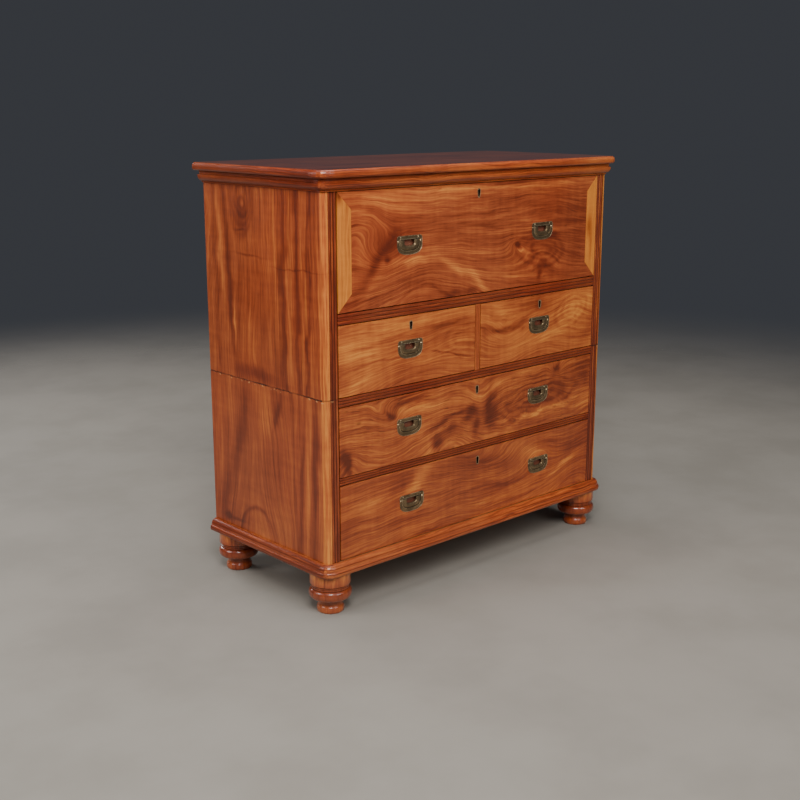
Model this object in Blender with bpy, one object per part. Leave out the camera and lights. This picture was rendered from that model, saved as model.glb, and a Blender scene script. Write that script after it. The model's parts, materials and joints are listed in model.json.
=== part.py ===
"""Campaign secretaire chest: a chest of drawers in two stacking cases on turned feet.

The upper case holds a secretaire drawer, whose front falls on hinges to make a desk, over two
small drawers. The lower case holds two long drawers. Lengths are in metres, the front faces -Y,
and the origin is on the floor under the middle of the top board.
"""

import math

import bmesh
import bpy
from mathutils import Matrix

# Case, in plan
CASE_WIDTH = 1.046
CASE_DEPTH = 0.483
CORNER_RADIUS = 0.016        # rounded front corners
STILE_WIDTH = 0.042          # corner post, from the outside of the case to the drawer opening
STILE_DEPTH = 0.045
SIDE_THICKNESS = 0.020
BACK_THICKNESS = 0.010
BACK_RABBET = 0.010          # how far the back panel is let into each side
REED_COUNT = 3
REED_DEPTH = 0.0026

# Heights, from the floor up
FOOT_HEIGHT = 0.107
PLINTH_HEIGHT = 0.032
LOWER_LONG_OPENING = 0.195
LOWER_RAIL_HEIGHT = 0.019
UPPER_LONG_OPENING = 0.179
DECK_HEIGHT = 0.023
SMALL_OPENING = 0.178
SECRETAIRE_RAIL_HEIGHT = 0.027
SECRETAIRE_OPENING = 0.289
CORNICE_HEIGHT = 0.031
TOP_THICKNESS = 0.020

# Mouldings
TOP_OVERHANG = 0.027
TOP_BACK_OVERHANG = 0.008
TOP_EDGE_ROUND = 0.010
CORNICE_OVERHANG = 0.017
CORNICE_RECESS = 0.005       # step back between the cornice and the top board
CORNICE_RECESS_HEIGHT = 0.009
PLINTH_OVERHANG = 0.020
PLINTH_BEAD_HEIGHT = 0.015
MOULDING_LIP = 0.004         # least width of a moulding at its thin edge

# Turned feet
FOOT_INSET = 0.039           # from the case's sides and front to a foot's axis
FOOT_BACK_INSET = 0.0475     # from the case's back to a back foot's axis
NECK_RADIUS = 0.0525
BULB_RADIUS = 0.0555
WAIST_RADIUS = 0.030
TOE_RADIUS = 0.0355
TOE_HEIGHT = 0.017
WAIST_HEIGHT = 0.020
BULB_HEIGHT = 0.028
FILLET_HEIGHT = 0.005
FILLET_STEP = 0.0035
FILLET_FLAT = (0.15, 0.75)   # flat part of each ring above the bulb, as shares of its height
FILLET_GROOVE = 0.95         # where the groove over each ring lies, as a share of its height

# Boards inside the cases
BOTTOM_THICKNESS = 0.020
UPPER_BOTTOM_THICKNESS = 0.012
RUNNER_WIDTH = 0.060
GUIDE_HEIGHT = 0.014
DIVIDER_THICKNESS = 0.018

# Drawers
FRONT_THICKNESS = 0.022
DRAWER_WALL = 0.012
DRAWER_BOTTOM = 0.009
DRAWER_BACK_SPACE = 0.012    # behind a drawer, in front of the back panel
DRAWER_SIDE_DROP = 0.012     # drawer sides stop this far below the opening's top

# Secretaire drawer and its fall
FALL_THICKNESS = 0.019
CLAMP_WIDTH = 0.043          # mitred end clamps of the fall
PIVOT_INSET = 0.005          # from the fall's outer face to the hinge axis
PIVOT_RISE = 0.008           # from the fall's lower edge to the hinge axis
FALL_FOOT_GAP = 0.002        # under the fall's lower edge
LEATHER_MARGIN = 0.060       # from the fall's edges to the writing leather
LEATHER_THICKNESS = 0.0016
LOCK_WIDTH = 0.070
LOCK_HEIGHT = 0.042
LOCK_DEPTH = 0.005
HINGE_INSET = 0.1695         # from the fall's ends to the middle of each hinge
HINGE_WIDTH = 0.050
HINGE_LEAF = 0.025           # how far a hinge leaf enters the drawer's bed
HINGE_LEAF_THICKNESS = 0.002
HINGE_BARREL_RADIUS = 0.003
STAY_RADIUS = 0.165
STAY_BAR = 0.010
STAY_THICKNESS = 0.0035
STAY_PLATE_LENGTH = 0.050
STAY_PLATE_WIDTH = 0.016
STAY_PLATE_THICKNESS = 0.0025

# Pigeonholes and the little drawers inside the secretaire
PIGEON_DEPTH = 0.200
PIGEON_WALL = 0.008
PIGEON_TOP_SPACE = 0.004     # below the drawer sides' top
PIGEON_CENTRE_WIDTH = 0.360
LITTLE_DRAWER_HEIGHT = 0.085
LITTLE_DRAWER_WALL = 0.006
LITTLE_KNOB_RADIUS = 0.007
LITTLE_KNOB_LENGTH = 0.013
LITTLE_KNOB_HEAD = (0.4, 0.6, 0.85)  # where a knob's neck ends and its head starts and ends, as shares

# Recessed handles
HANDLE_SPACING = 0.496
HANDLE_RISE = 0.0025         # above the middle of the front
LOWER_HANDLE_SHIFT = 0.009   # the lower drawer's handles sit this far to the right
PLATE_WIDTH = 0.085
PLATE_HEIGHT = 0.047
PLATE_BAND = 0.0095
PLATE_TOP_BAND = 0.009
PLATE_SHOULDER = 0.018       # from the plate's top down to its bowl
PLATE_CORNER = 0.007         # rounded upper corners
OPENING_CORNER = 0.0015
BOWL_FULLNESS = 2.8          # of a handle's lower half: 2 is an ellipse, more is squarer
PLATE_DEPTH = 0.0032
PLATE_PROUD = 0.0008
BAIL_BAND = 0.0155           # across each arm
BAIL_FOOT_BAND = 0.012
BAIL_THICKNESS = 0.005
BAIL_DROP = 0.005            # from the plate's opening down to the bail's axis
BAIL_AXIS_DEPTH = 0.0012     # behind the drawer's face
BAIL_EYE = 0.003             # part of the bail above its axis
PINTLE_RADIUS = 0.0011
PINTLE_LENGTH = 0.0025
HANDLE_POCKET = 0.010

# Fits
FIT = 0.0003                 # between pieces fixed to each other
SWING_FIT = 0.0005           # round pieces that turn or slide in metal
BAIL_FIT = 0.0007            # between a bail and its plate
DRAWER_GAP = 0.0015          # round a drawer front
RUNNER_GAP = 0.0005          # under a drawer
WELD_OVERLAP = 0.004         # how far shapes reach into each other before they are joined

# Facets of round shapes
CORNER_STEPS = 6
BEAD_STEPS = 6
FOOT_SIDES = 20
SWELL_STEPS = 8
HANDLE_STEPS = 14
PIN_SIDES = 8
STAY_STEPS = 16
SMOOTH_ANGLE = 35            # facets meeting at less than this, in degrees, are shaded as one surface

# Levels
PLINTH_TOP = FOOT_HEIGHT + PLINTH_HEIGHT
LOWER_RAIL_BASE = PLINTH_TOP + LOWER_LONG_OPENING
UPPER_LONG_BASE = LOWER_RAIL_BASE + LOWER_RAIL_HEIGHT
DECK_BASE = UPPER_LONG_BASE + UPPER_LONG_OPENING
SPLIT_LEVEL = DECK_BASE + DECK_HEIGHT
UPPER_RAIL_BASE = SPLIT_LEVEL + SMALL_OPENING
SECRETAIRE_BASE = UPPER_RAIL_BASE + SECRETAIRE_RAIL_HEIGHT
CORNICE_BASE = SECRETAIRE_BASE + SECRETAIRE_OPENING
TOP_BASE = CORNICE_BASE + CORNICE_HEIGHT
TOP_LEVEL = TOP_BASE + TOP_THICKNESS

# Places in plan
HALF_CASE = CASE_WIDTH / 2
HALF_OPENING = HALF_CASE - STILE_WIDTH
HALF_INSIDE = HALF_CASE - SIDE_THICKNESS
FRONT_Y = TOP_OVERHANG - (TOP_OVERHANG + CASE_DEPTH + TOP_BACK_OVERHANG) / 2
BACK_Y = FRONT_Y + CASE_DEPTH
STILE_BACK_Y = FRONT_Y + STILE_DEPTH
PANEL_FRONT_Y = BACK_Y - BACK_THICKNESS
BOARD_BACK_Y = PANEL_FRONT_Y - FIT
DRAWER_BACK_Y = PANEL_FRONT_Y - DRAWER_BACK_SPACE

# Secretaire places
HALF_DRAWER = HALF_OPENING - DRAWER_GAP
HALF_BED = HALF_DRAWER - DRAWER_WALL
FALL_BASE = SECRETAIRE_BASE + FALL_FOOT_GAP
FALL_TOP = CORNICE_BASE - DRAWER_GAP
FALL_BACK_Y = FRONT_Y + FALL_THICKNESS
PIVOT_Y = FRONT_Y + PIVOT_INSET
PIVOT_Z = FALL_BASE + PIVOT_RISE
FALL_BEHIND_PIVOT = FALL_THICKNESS - PIVOT_INSET
BED_FRONT_Y = FALL_BACK_Y + SWING_FIT
BED_BASE = SECRETAIRE_BASE + RUNNER_GAP
BED_TOP = PIVOT_Z + FALL_BEHIND_PIVOT
SECRETAIRE_SIDE_TOP = CORNICE_BASE - DRAWER_SIDE_DROP
SECRETAIRE_BACK_FRONT_Y = DRAWER_BACK_Y - DRAWER_WALL
PIGEON_FRONT_Y = SECRETAIRE_BACK_FRONT_Y - FIT - PIGEON_DEPTH

WOOD_FINISHES = {
    "case": ((0.36, 0.115, 0.032), 0.32),
    "light": ((0.50, 0.215, 0.060), 0.34),
    "front": ((0.40, 0.140, 0.040), 0.30),
    "inside": ((0.33, 0.170, 0.075), 0.60),
}
BRASS_FINISH = ((0.135, 0.095, 0.045), 0.42)
BRIGHT_BRASS_FINISH = ((0.50, 0.33, 0.11), 0.35)
LEATHER_FINISH = ((0.055, 0.090, 0.045), 0.55)


def clear_scene():
    for item in list(bpy.data.objects):
        bpy.data.objects.remove(item, do_unlink=True)


def finish_material(name, colour, roughness, metallic):
    material = bpy.data.materials.new(name + "_finish")
    material.use_nodes = True
    shader = material.node_tree.nodes["Principled BSDF"]
    shader.inputs["Base Color"].default_value = (*colour, 1.0)
    shader.inputs["Roughness"].default_value = roughness
    shader.inputs["Metallic"].default_value = metallic
    return material


def wood(kind):
    colour, roughness = WOOD_FINISHES[kind]
    return colour, roughness, 0.0


def brass(bright=False):
    colour, roughness = BRIGHT_BRASS_FINISH if bright else BRASS_FINISH
    return colour, roughness, 1.0


def joint_empty(name, place, parent=None):
    empty = bpy.data.objects.new(name, None)
    bpy.context.scene.collection.objects.link(empty)
    empty.parent = parent
    base = parent.matrix_world.translation if parent else (0.0, 0.0, 0.0)
    empty.location = [place[i] - base[i] for i in range(3)]
    bpy.context.view_layer.update()
    return empty


def add_object(name, mesh_data, finish=None, parent=None, smooth=False):
    """Names a shape given in world coordinates and hangs it on its joint's empty."""
    item = bpy.data.objects.new(name, mesh_data)
    bpy.context.scene.collection.objects.link(item)
    if finish:
        mesh_data.materials.clear()
        mesh_data.materials.append(finish_material(name, *finish))
    if smooth:
        mesh_data.shade_smooth()
        mesh_data.set_sharp_from_angle(angle=math.radians(SMOOTH_ANGLE))
    if parent:
        mesh_data.transform(Matrix.Translation(-parent.matrix_world.translation))
        item.parent = parent
    return item


def mesh_from(shape):
    bmesh.ops.recalc_face_normals(shape, faces=shape.faces)
    mesh_data = bpy.data.meshes.new("shape")
    shape.to_mesh(mesh_data)
    shape.free()
    return mesh_data


def loop_stack(loops, closed_stack=False):
    """Joins loops of equally many points into one closed solid."""
    shape = bmesh.new()
    rows = [[shape.verts.new(point) for point in loop] for loop in loops]
    count = len(rows[0])
    pairs = list(zip(rows, rows[1:]))
    if closed_stack:
        pairs.append((rows[-1], rows[0]))
    for lower, upper in pairs:
        for i in range(count):
            j = (i + 1) % count
            shape.faces.new((lower[i], lower[j], upper[j], upper[i]))
    if not closed_stack:
        shape.faces.new(rows[0])
        shape.faces.new(rows[-1])
    return mesh_from(shape)


def prism(outline, axis, low, high):
    """Extrudes an outline along X, Y or Z; it holds the other two coordinates in order."""
    def lift(pair, level):
        point = list(pair)
        point.insert("XYZ".index(axis), level)
        return point
    return loop_stack([[lift(pair, level) for pair in outline] for level in (low, high)])


def block(x_range, y_range, z_range):
    x0, x1 = x_range
    y0, y1 = y_range
    return prism(((x0, y0), (x1, y0), (x1, y1), (x0, y1)), "Z", *z_range)


def both_ways(half):
    return -half, half


def pin(x0, x1, y, z, radius, sides):
    ring = []
    for k in range(sides):
        angle = 2 * math.pi * (k + 0.5) / sides
        ring.append((y + radius * math.cos(angle), z + radius * math.sin(angle)))
    return prism(ring, "X", x0, x1)


def combined(mesh_data, tool_meshes, operation):
    """Unites a shape with others, or cuts them out of it."""
    target = add_object("target", mesh_data)
    tools = [add_object("tool", tool_mesh) for tool_mesh in tool_meshes]
    for tool in tools:
        modifier = target.modifiers.new("combine", "BOOLEAN")
        modifier.object = tool
        modifier.operation = operation
        modifier.solver = "EXACT"
    graph = bpy.context.evaluated_depsgraph_get()
    result = bpy.data.meshes.new_from_object(target.evaluated_get(graph))
    for item in tools + [target]:
        bpy.data.objects.remove(item, do_unlink=True)
    return result


def united(mesh_data, *tool_meshes):
    return combined(mesh_data, tool_meshes, "UNION")


def carved(mesh_data, *tool_meshes):
    return combined(mesh_data, tool_meshes, "DIFFERENCE")


def reeds(length, count, depth):
    """Points of a row of half-round reeds: distance along it, and depth below the crests."""
    width = length / count
    points = [(0.0, depth)]
    for reed in range(count):
        for step in range(1, BEAD_STEPS + 1):
            angle = math.pi * step / BEAD_STEPS
            along = reed * width + width * (1 - math.cos(angle)) / 2
            points.append((along, depth * (1 - math.sin(angle))))
    return points


def arc(centre, radii, start, end, steps):
    points = []
    for step in range(steps + 1):
        angle = math.radians(start + (end - start) * step / steps)
        points.append((centre[0] + radii[0] * math.cos(angle), centre[1] + radii[1] * math.sin(angle)))
    return points


def case_path(offset, back_y):
    """The case's outline in plan, moved out by an offset: back left, front, back right."""
    radius = CORNER_RADIUS + offset
    centre_x = HALF_CASE - CORNER_RADIUS
    centre_y = FRONT_Y + CORNER_RADIUS
    path = [(-HALF_CASE - offset, back_y)]
    path += arc((-centre_x, centre_y), (radius, radius), 180, 270, CORNER_STEPS)
    path += arc((centre_x, centre_y), (radius, radius), 270, 360, CORNER_STEPS)
    path.append((HALF_CASE + offset, back_y))
    return path


def swept_moulding(profile, base):
    """A moulding round the case's front and sides; its profile holds offsets and heights."""
    loops = []
    for index in range(len(case_path(0.0, BACK_Y))):
        loop = []
        for offset, height in profile:
            x, y = case_path(offset, BACK_Y)[index]
            loop.append((x, y, base + height))
        loops.append(loop)
    return loop_stack(loops)


def side_outline(side):
    """Plan of a case side: reeded corner post, rounded corner, board, and rabbet for the back."""
    points = []
    for along, depth in reeds(STILE_WIDTH - CORNER_RADIUS, REED_COUNT, REED_DEPTH):
        points.append((HALF_OPENING + along, FRONT_Y + depth))
    corner = (HALF_CASE - CORNER_RADIUS, FRONT_Y + CORNER_RADIUS)
    points += arc(corner, (CORNER_RADIUS, CORNER_RADIUS), 270, 360, CORNER_STEPS)
    rabbet_x = HALF_INSIDE + BACK_RABBET
    rabbet_y = PANEL_FRONT_Y - FIT
    points += [(HALF_CASE, BACK_Y), (rabbet_x, BACK_Y), (rabbet_x, rabbet_y), (HALF_INSIDE, rabbet_y)]
    points += [(HALF_INSIDE, STILE_BACK_Y), (HALF_OPENING, STILE_BACK_Y)]
    return [(side * x, y) for x, y in points]


def drawer_board(base, top, thickness, guide, front_y, reeded):
    """A board under a drawer, with guides at its ends and a rail that reaches to front_y.

    Where the board is thinner than its rail, runners bring the drawer up to the rail's top.
    """
    half_wide = HALF_INSIDE - FIT
    half_rail = HALF_OPENING - FIT
    floor = base + thickness
    runner = HALF_OPENING - RUNNER_WIDTH
    section = [(-half_wide, base), (half_wide, base)]
    right = [(half_wide, top + guide), (HALF_OPENING, top + guide), (HALF_OPENING, top)]
    if guide == 0:
        right = [(half_wide, top)]
    if floor < top:
        right += [(runner, top), (runner, floor)]
    section += right
    section += [(-x, z) for x, z in reversed(right)]
    body = prism(section, "Y", STILE_BACK_Y + FIT, BOARD_BACK_Y)
    rail_back = STILE_BACK_Y + FIT + WELD_OVERLAP
    front = [(front_y, base), (front_y, top)]
    if reeded:
        rows = reeds(top - base, REED_COUNT, REED_DEPTH)
        front = [(front_y + depth, base + along) for along, depth in rows]
    front += [(rail_back, top), (rail_back, base)]
    return united(body, prism(front, "X", *both_ways(half_rail)))


def back_panel(base, top):
    half = HALF_INSIDE + BACK_RABBET - FIT
    return block(both_ways(half), (PANEL_FRONT_Y, BACK_Y), (base, top))


def swell(base, height, side_radius, peak_radius, steps):
    """Heights and radii of a rounded bulge on a turned piece."""
    points = []
    for step in range(steps + 1):
        angle = math.pi * step / steps
        height_here = base + height * (1 - math.cos(angle)) / 2
        points.append((height_here, side_radius + (peak_radius - side_radius) * math.sin(angle)))
    return points


def foot_profile():
    waist_base = TOE_HEIGHT
    bulb_base = waist_base + WAIST_HEIGHT
    fillet_base = bulb_base + BULB_HEIGHT
    neck_base = fillet_base + 2 * FILLET_HEIGHT
    fillet_radius = NECK_RADIUS - FILLET_STEP
    toe_rim = (WAIST_RADIUS + TOE_RADIUS) / 2
    profile = swell(0.0, TOE_HEIGHT, toe_rim, TOE_RADIUS, SWELL_STEPS)
    profile += [(waist_base + WAIST_HEIGHT / 3, WAIST_RADIUS), (bulb_base, WAIST_RADIUS)]
    profile += swell(bulb_base, BULB_HEIGHT, fillet_radius - FILLET_STEP, BULB_RADIUS, SWELL_STEPS)
    for ring in range(2):
        ring_base = fillet_base + ring * FILLET_HEIGHT
        profile += [(ring_base + FILLET_HEIGHT * share, fillet_radius) for share in FILLET_FLAT]
        profile.append((ring_base + FILLET_HEIGHT * FILLET_GROOVE, fillet_radius - FILLET_STEP / 2))
    profile += [(neck_base + FILLET_HEIGHT / 3, NECK_RADIUS), (FOOT_HEIGHT - FIT, NECK_RADIUS)]
    return profile


def turned(profile, x, y, sides):
    loops = []
    for height, radius in profile:
        loop = []
        for side in range(sides):
            angle = 2 * math.pi * side / sides
            loop.append((x + radius * math.cos(angle), y + radius * math.sin(angle), height))
        loops.append(loop)
    return loop_stack(loops)


def bowl(centre, radii):
    """The full-cornered lower half of a handle's outline, from its right end round to its left."""
    points = []
    for step in range(HANDLE_STEPS + 1):
        angle = math.pi * step / HANDLE_STEPS
        across = abs(math.cos(angle)) ** (2 / BOWL_FULLNESS)
        down = abs(math.sin(angle)) ** (2 / BOWL_FULLNESS)
        x = centre[0] + math.copysign(radii[0] * across, math.cos(angle))
        points.append((x, centre[1] - radii[1] * down))
    return points


def round_bottomed(half_width, top, spring, drop, corner):
    """A flat-topped outline with a bowl below, in X and Z, round the handle's middle."""
    points = arc((corner - half_width, top - corner), (corner, corner), 180, 90, CORNER_STEPS)
    points += arc((half_width - corner, top - corner), (corner, corner), 90, 0, CORNER_STEPS)
    return points + bowl((0.0, spring), (half_width, drop))


def handle_sizes():
    top = PLATE_HEIGHT / 2
    spring = top - PLATE_SHOULDER
    drop = PLATE_HEIGHT - PLATE_SHOULDER
    half = PLATE_WIDTH / 2
    outer = (half, top, spring, drop, PLATE_CORNER)
    opening = (half - PLATE_BAND, top - PLATE_TOP_BAND, spring, drop - PLATE_BAND, OPENING_CORNER)
    return outer, opening


def moved(outline, x, z):
    return [(px + x, pz + z) for px, pz in outline]


def handle_axis(x, z):
    opening_top = handle_sizes()[1][1]
    return x, FRONT_Y + BAIL_AXIS_DEPTH, z + opening_top - BAIL_DROP


def handle_seat(x, z):
    """Cutters for a handle: a shallow seat for its plate, and a deeper pocket for the fingers."""
    outer, opening = handle_sizes()
    half, top, spring, drop, corner = outer
    seat = round_bottomed(half + FIT, top + FIT, spring, drop + FIT, corner + FIT)
    before = FRONT_Y - WELD_OVERLAP
    seat_cut = prism(moved(seat, x, z), "Y", before, FRONT_Y + PLATE_DEPTH + FIT)
    pocket_cut = prism(moved(round_bottomed(*opening), x, z), "Y", before, FRONT_Y + HANDLE_POCKET)
    return seat_cut, pocket_cut


def handle_plate(x, z):
    outer, opening = handle_sizes()
    outside = moved(round_bottomed(*outer), x, z)
    inside = moved(round_bottomed(*opening), x, z)
    front_y = FRONT_Y - PLATE_PROUD
    back_y = FRONT_Y + PLATE_DEPTH
    rings = []
    for outline, y in ((outside, front_y), (outside, back_y), (inside, back_y), (inside, front_y)):
        rings.append([(px, y, pz) for px, pz in outline])
    ring = loop_stack(rings, closed_stack=True)
    axis = handle_axis(x, z)
    reach = opening[0] - BAIL_FIT + PINTLE_LENGTH + SWING_FIT
    sockets = []
    for side in (-1, 1):
        ends = sorted((x + side * (opening[0] - WELD_OVERLAP), x + side * reach))
        sockets.append(pin(*ends, axis[1], axis[2], PINTLE_RADIUS + FIT, PIN_SIDES))
    return carved(ring, *sockets)


def handle_bail(x, z):
    half, top, spring, drop, corner = handle_sizes()[1]
    axis = handle_axis(x, z)
    eye_top = axis[2] + BAIL_EYE
    bail_half = half - BAIL_FIT
    bail_drop = drop - BAIL_FIT
    outside = bowl((x, z + spring), (bail_half, bail_drop))
    inside = bowl((x, z + spring), (bail_half - BAIL_BAND, bail_drop - BAIL_FOOT_BAND))[::-1]
    outline = [(x + bail_half, eye_top)] + outside + [(x - bail_half, eye_top)]
    outline += [(x - bail_half + BAIL_BAND, eye_top)] + inside + [(x + bail_half - BAIL_BAND, eye_top)]
    y_range = (axis[1] - BAIL_THICKNESS / 2, axis[1] + BAIL_THICKNESS / 2)
    band = prism(outline, "Y", *y_range)
    pintles = []
    for side in (-1, 1):
        ends = sorted((x + side * (bail_half - BAIL_BAND / 2), x + side * (bail_half + PINTLE_LENGTH)))
        pintles.append(pin(*ends, axis[1], axis[2], PINTLE_RADIUS, PIN_SIDES))
    return united(band, *pintles)


def add_handle(owner, place, x, z, parent):
    name = owner + ("_" + place if place else "")
    add_object(name + "_plate", handle_plate(x, z), brass(), parent)
    pivot = joint_empty(name + "_bail_axis", handle_axis(x, z), parent)
    add_object(name + "_bail", handle_bail(x, z), brass(), pivot, smooth=True)


def drawer_box(x_range, z_range):
    """Sides, back and bottom of a drawer, open at the top and where its front closes it."""
    x0, x1 = x_range
    z0, z1 = z_range
    front_y = FRONT_Y + FRONT_THICKNESS + FIT
    outside = block((x0, x1), (front_y, DRAWER_BACK_Y), (z0, z1))
    inside_x = (x0 + DRAWER_WALL, x1 - DRAWER_WALL)
    inside_y = (front_y - WELD_OVERLAP, DRAWER_BACK_Y - DRAWER_WALL)
    inside = block(inside_x, inside_y, (z0 + DRAWER_BOTTOM, z1 + WELD_OVERLAP))
    return carved(outside, inside)


def add_drawer(name, x_range, z_range, floor, handle_places):
    """A drawer in an opening; floor is the level of the board that it runs on."""
    x0, x1 = x_range[0] + DRAWER_GAP, x_range[1] - DRAWER_GAP
    z0, z1 = z_range[0] + DRAWER_GAP, z_range[1] - DRAWER_GAP
    slide = joint_empty(name + "_slide", ((x0 + x1) / 2, FRONT_Y, (z0 + z1) / 2))
    front = block((x0, x1), (FRONT_Y, FRONT_Y + FRONT_THICKNESS), (z0, z1))
    handle_z = (z_range[0] + z_range[1]) / 2 + HANDLE_RISE
    cutters = []
    for x in handle_places.values():
        cutters += handle_seat(x, handle_z)
    add_object(name + "_front", carved(front, *cutters), wood("front"), slide)
    box = drawer_box((x0, x1), (floor + RUNNER_GAP, z_range[1] - DRAWER_SIDE_DROP))
    add_object(name + "_box", box, wood("inside"), slide)
    for place, x in handle_places.items():
        add_handle(name, place, x, handle_z, slide)


def build_lower_case():
    for side, name in ((-1, "left"), (1, "right")):
        board = prism(side_outline(side), "Z", FOOT_HEIGHT, SPLIT_LEVEL - FIT)
        add_object("lower_side_" + name, board, wood("case"), smooth=True)
    add_object("lower_back_panel", back_panel(FOOT_HEIGHT, SPLIT_LEVEL - FIT), wood("inside"))
    bottom = drawer_board(FOOT_HEIGHT, PLINTH_TOP, BOTTOM_THICKNESS, GUIDE_HEIGHT, FRONT_Y, False)
    add_object("lower_bottom_board", bottom, wood("inside"))
    rail = drawer_board(LOWER_RAIL_BASE, UPPER_LONG_BASE, LOWER_RAIL_HEIGHT, GUIDE_HEIGHT, FRONT_Y, True)
    add_object("lower_dust_board", rail, wood("case"), smooth=True)
    deck = drawer_board(DECK_BASE, SPLIT_LEVEL - FIT, DECK_HEIGHT, 0, FRONT_Y, True)
    add_object("lower_deck", deck, wood("case"), smooth=True)


def build_plinth_and_feet():
    bead_centre = PLINTH_BEAD_HEIGHT / 2
    bead_root = PLINTH_OVERHANG - MOULDING_LIP
    ovolo_height = PLINTH_HEIGHT - PLINTH_BEAD_HEIGHT
    profile = [(FIT, 0.0)]
    profile += arc((bead_root, bead_centre), (MOULDING_LIP, bead_centre), -90, 90, BEAD_STEPS)
    ovolo_radii = (bead_root - MOULDING_LIP, ovolo_height)
    profile += arc((MOULDING_LIP, PLINTH_BEAD_HEIGHT), ovolo_radii, 0, 90, BEAD_STEPS)[1:]
    profile.append((FIT, PLINTH_HEIGHT))
    add_object("plinth_moulding", swept_moulding(profile, FOOT_HEIGHT), wood("case"), smooth=True)
    foot_x = HALF_CASE - FOOT_INSET
    for place_y, y in (("front", FRONT_Y + FOOT_INSET), ("back", BACK_Y - FOOT_BACK_INSET)):
        for side, place_x in ((-1, "left"), (1, "right")):
            shape = turned(foot_profile(), side * foot_x, y, FOOT_SIDES)
            add_object(f"foot_{place_y}_{place_x}", shape, wood("case"), smooth=True)


def centre_divider():
    """A partition between the small drawers, with a reeded nose down to the lower case."""
    half = DIVIDER_THICKNESS / 2
    top = UPPER_RAIL_BASE - FIT
    shoulder_y = FRONT_Y + FRONT_THICKNESS
    nose = []
    for along, depth in reeds(DIVIDER_THICKNESS, REED_COUNT, REED_DEPTH / 2):
        nose.append((along - half, FRONT_Y + depth))
    nose += [(half, shoulder_y), (-half, shoulder_y)]
    body_base = SPLIT_LEVEL + UPPER_BOTTOM_THICKNESS + FIT
    body = block(both_ways(half), (shoulder_y - WELD_OVERLAP, BOARD_BACK_Y), (body_base, top))
    return united(body, prism(nose, "Z", SPLIT_LEVEL, top))


def top_board():
    loops = []
    steps = CORNER_STEPS
    edge = [(MOULDING_LIP, 0.0), (0.0, MOULDING_LIP)]
    rise = TOP_THICKNESS - TOP_EDGE_ROUND
    edge += [(TOP_EDGE_ROUND - x, rise + z) for x, z in arc((0, 0), (TOP_EDGE_ROUND,) * 2, 0, 90, steps)]
    for inset, height in edge:
        path = case_path(TOP_OVERHANG - inset, BACK_Y + TOP_BACK_OVERHANG)
        loops.append([(x, y, TOP_BASE + height) for x, y in path])
    return loop_stack(loops)


def build_upper_case():
    lift = joint_empty("upper_case_lift", (0.0, (FRONT_Y + BACK_Y) / 2, SPLIT_LEVEL))
    top = TOP_BASE - FIT
    for side, name in ((-1, "left"), (1, "right")):
        board = prism(side_outline(side), "Z", SPLIT_LEVEL, top)
        add_object("upper_side_" + name, board, wood("case"), lift, smooth=True)
    add_object("upper_back_panel", back_panel(SPLIT_LEVEL, top), wood("inside"), lift)
    board_top = SPLIT_LEVEL + UPPER_BOTTOM_THICKNESS
    behind_fronts = FRONT_Y + FRONT_THICKNESS + DRAWER_GAP
    bottom = drawer_board(SPLIT_LEVEL, board_top, UPPER_BOTTOM_THICKNESS, GUIDE_HEIGHT, behind_fronts, False)
    add_object("upper_bottom_board", bottom, wood("inside"), lift)
    rail_height = SECRETAIRE_RAIL_HEIGHT
    rail = drawer_board(UPPER_RAIL_BASE, SECRETAIRE_BASE, rail_height, GUIDE_HEIGHT, FRONT_Y, True)
    add_object("upper_dust_board", rail, wood("case"), lift, smooth=True)
    add_object("centre_divider", centre_divider(), wood("case"), lift, smooth=True)
    recess = CORNICE_OVERHANG - CORNICE_RECESS
    ovolo_height = CORNICE_HEIGHT - CORNICE_RECESS_HEIGHT - 2 * MOULDING_LIP
    profile = [(FIT, 0.0), (MOULDING_LIP, 0.0)]
    ovolo_radii = (CORNICE_OVERHANG - MOULDING_LIP, ovolo_height)
    profile += arc((MOULDING_LIP, MOULDING_LIP + ovolo_height), ovolo_radii, -90, 0, BEAD_STEPS)
    profile += [(CORNICE_OVERHANG, CORNICE_HEIGHT - CORNICE_RECESS_HEIGHT - MOULDING_LIP / 2)]
    profile += [(recess, CORNICE_HEIGHT - CORNICE_RECESS_HEIGHT), (recess, CORNICE_HEIGHT - FIT)]
    profile.append((FIT, CORNICE_HEIGHT - FIT))
    add_object("cornice_moulding", swept_moulding(profile, CORNICE_BASE), wood("case"), lift, smooth=True)
    add_object("top_board", top_board(), wood("case"), lift, smooth=True)


def pivot_round_cutter():
    """What the fall loses at its lower inner edge so that it turns in front of the drawer's bed."""
    reach = FALL_BEHIND_PIVOT
    low_angle = -math.degrees(math.asin(PIVOT_RISE / reach))
    outline = arc((PIVOT_Y, PIVOT_Z), (reach, reach), 0, low_angle, BEAD_STEPS)
    outline.append((outline[-1][0], FALL_BASE - WELD_OVERLAP))
    behind = FALL_BACK_Y + WELD_OVERLAP
    outline += [(behind, FALL_BASE - WELD_OVERLAP), (behind, PIVOT_Z)]
    return prism(outline, "X", *both_ways(HALF_OPENING))


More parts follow.
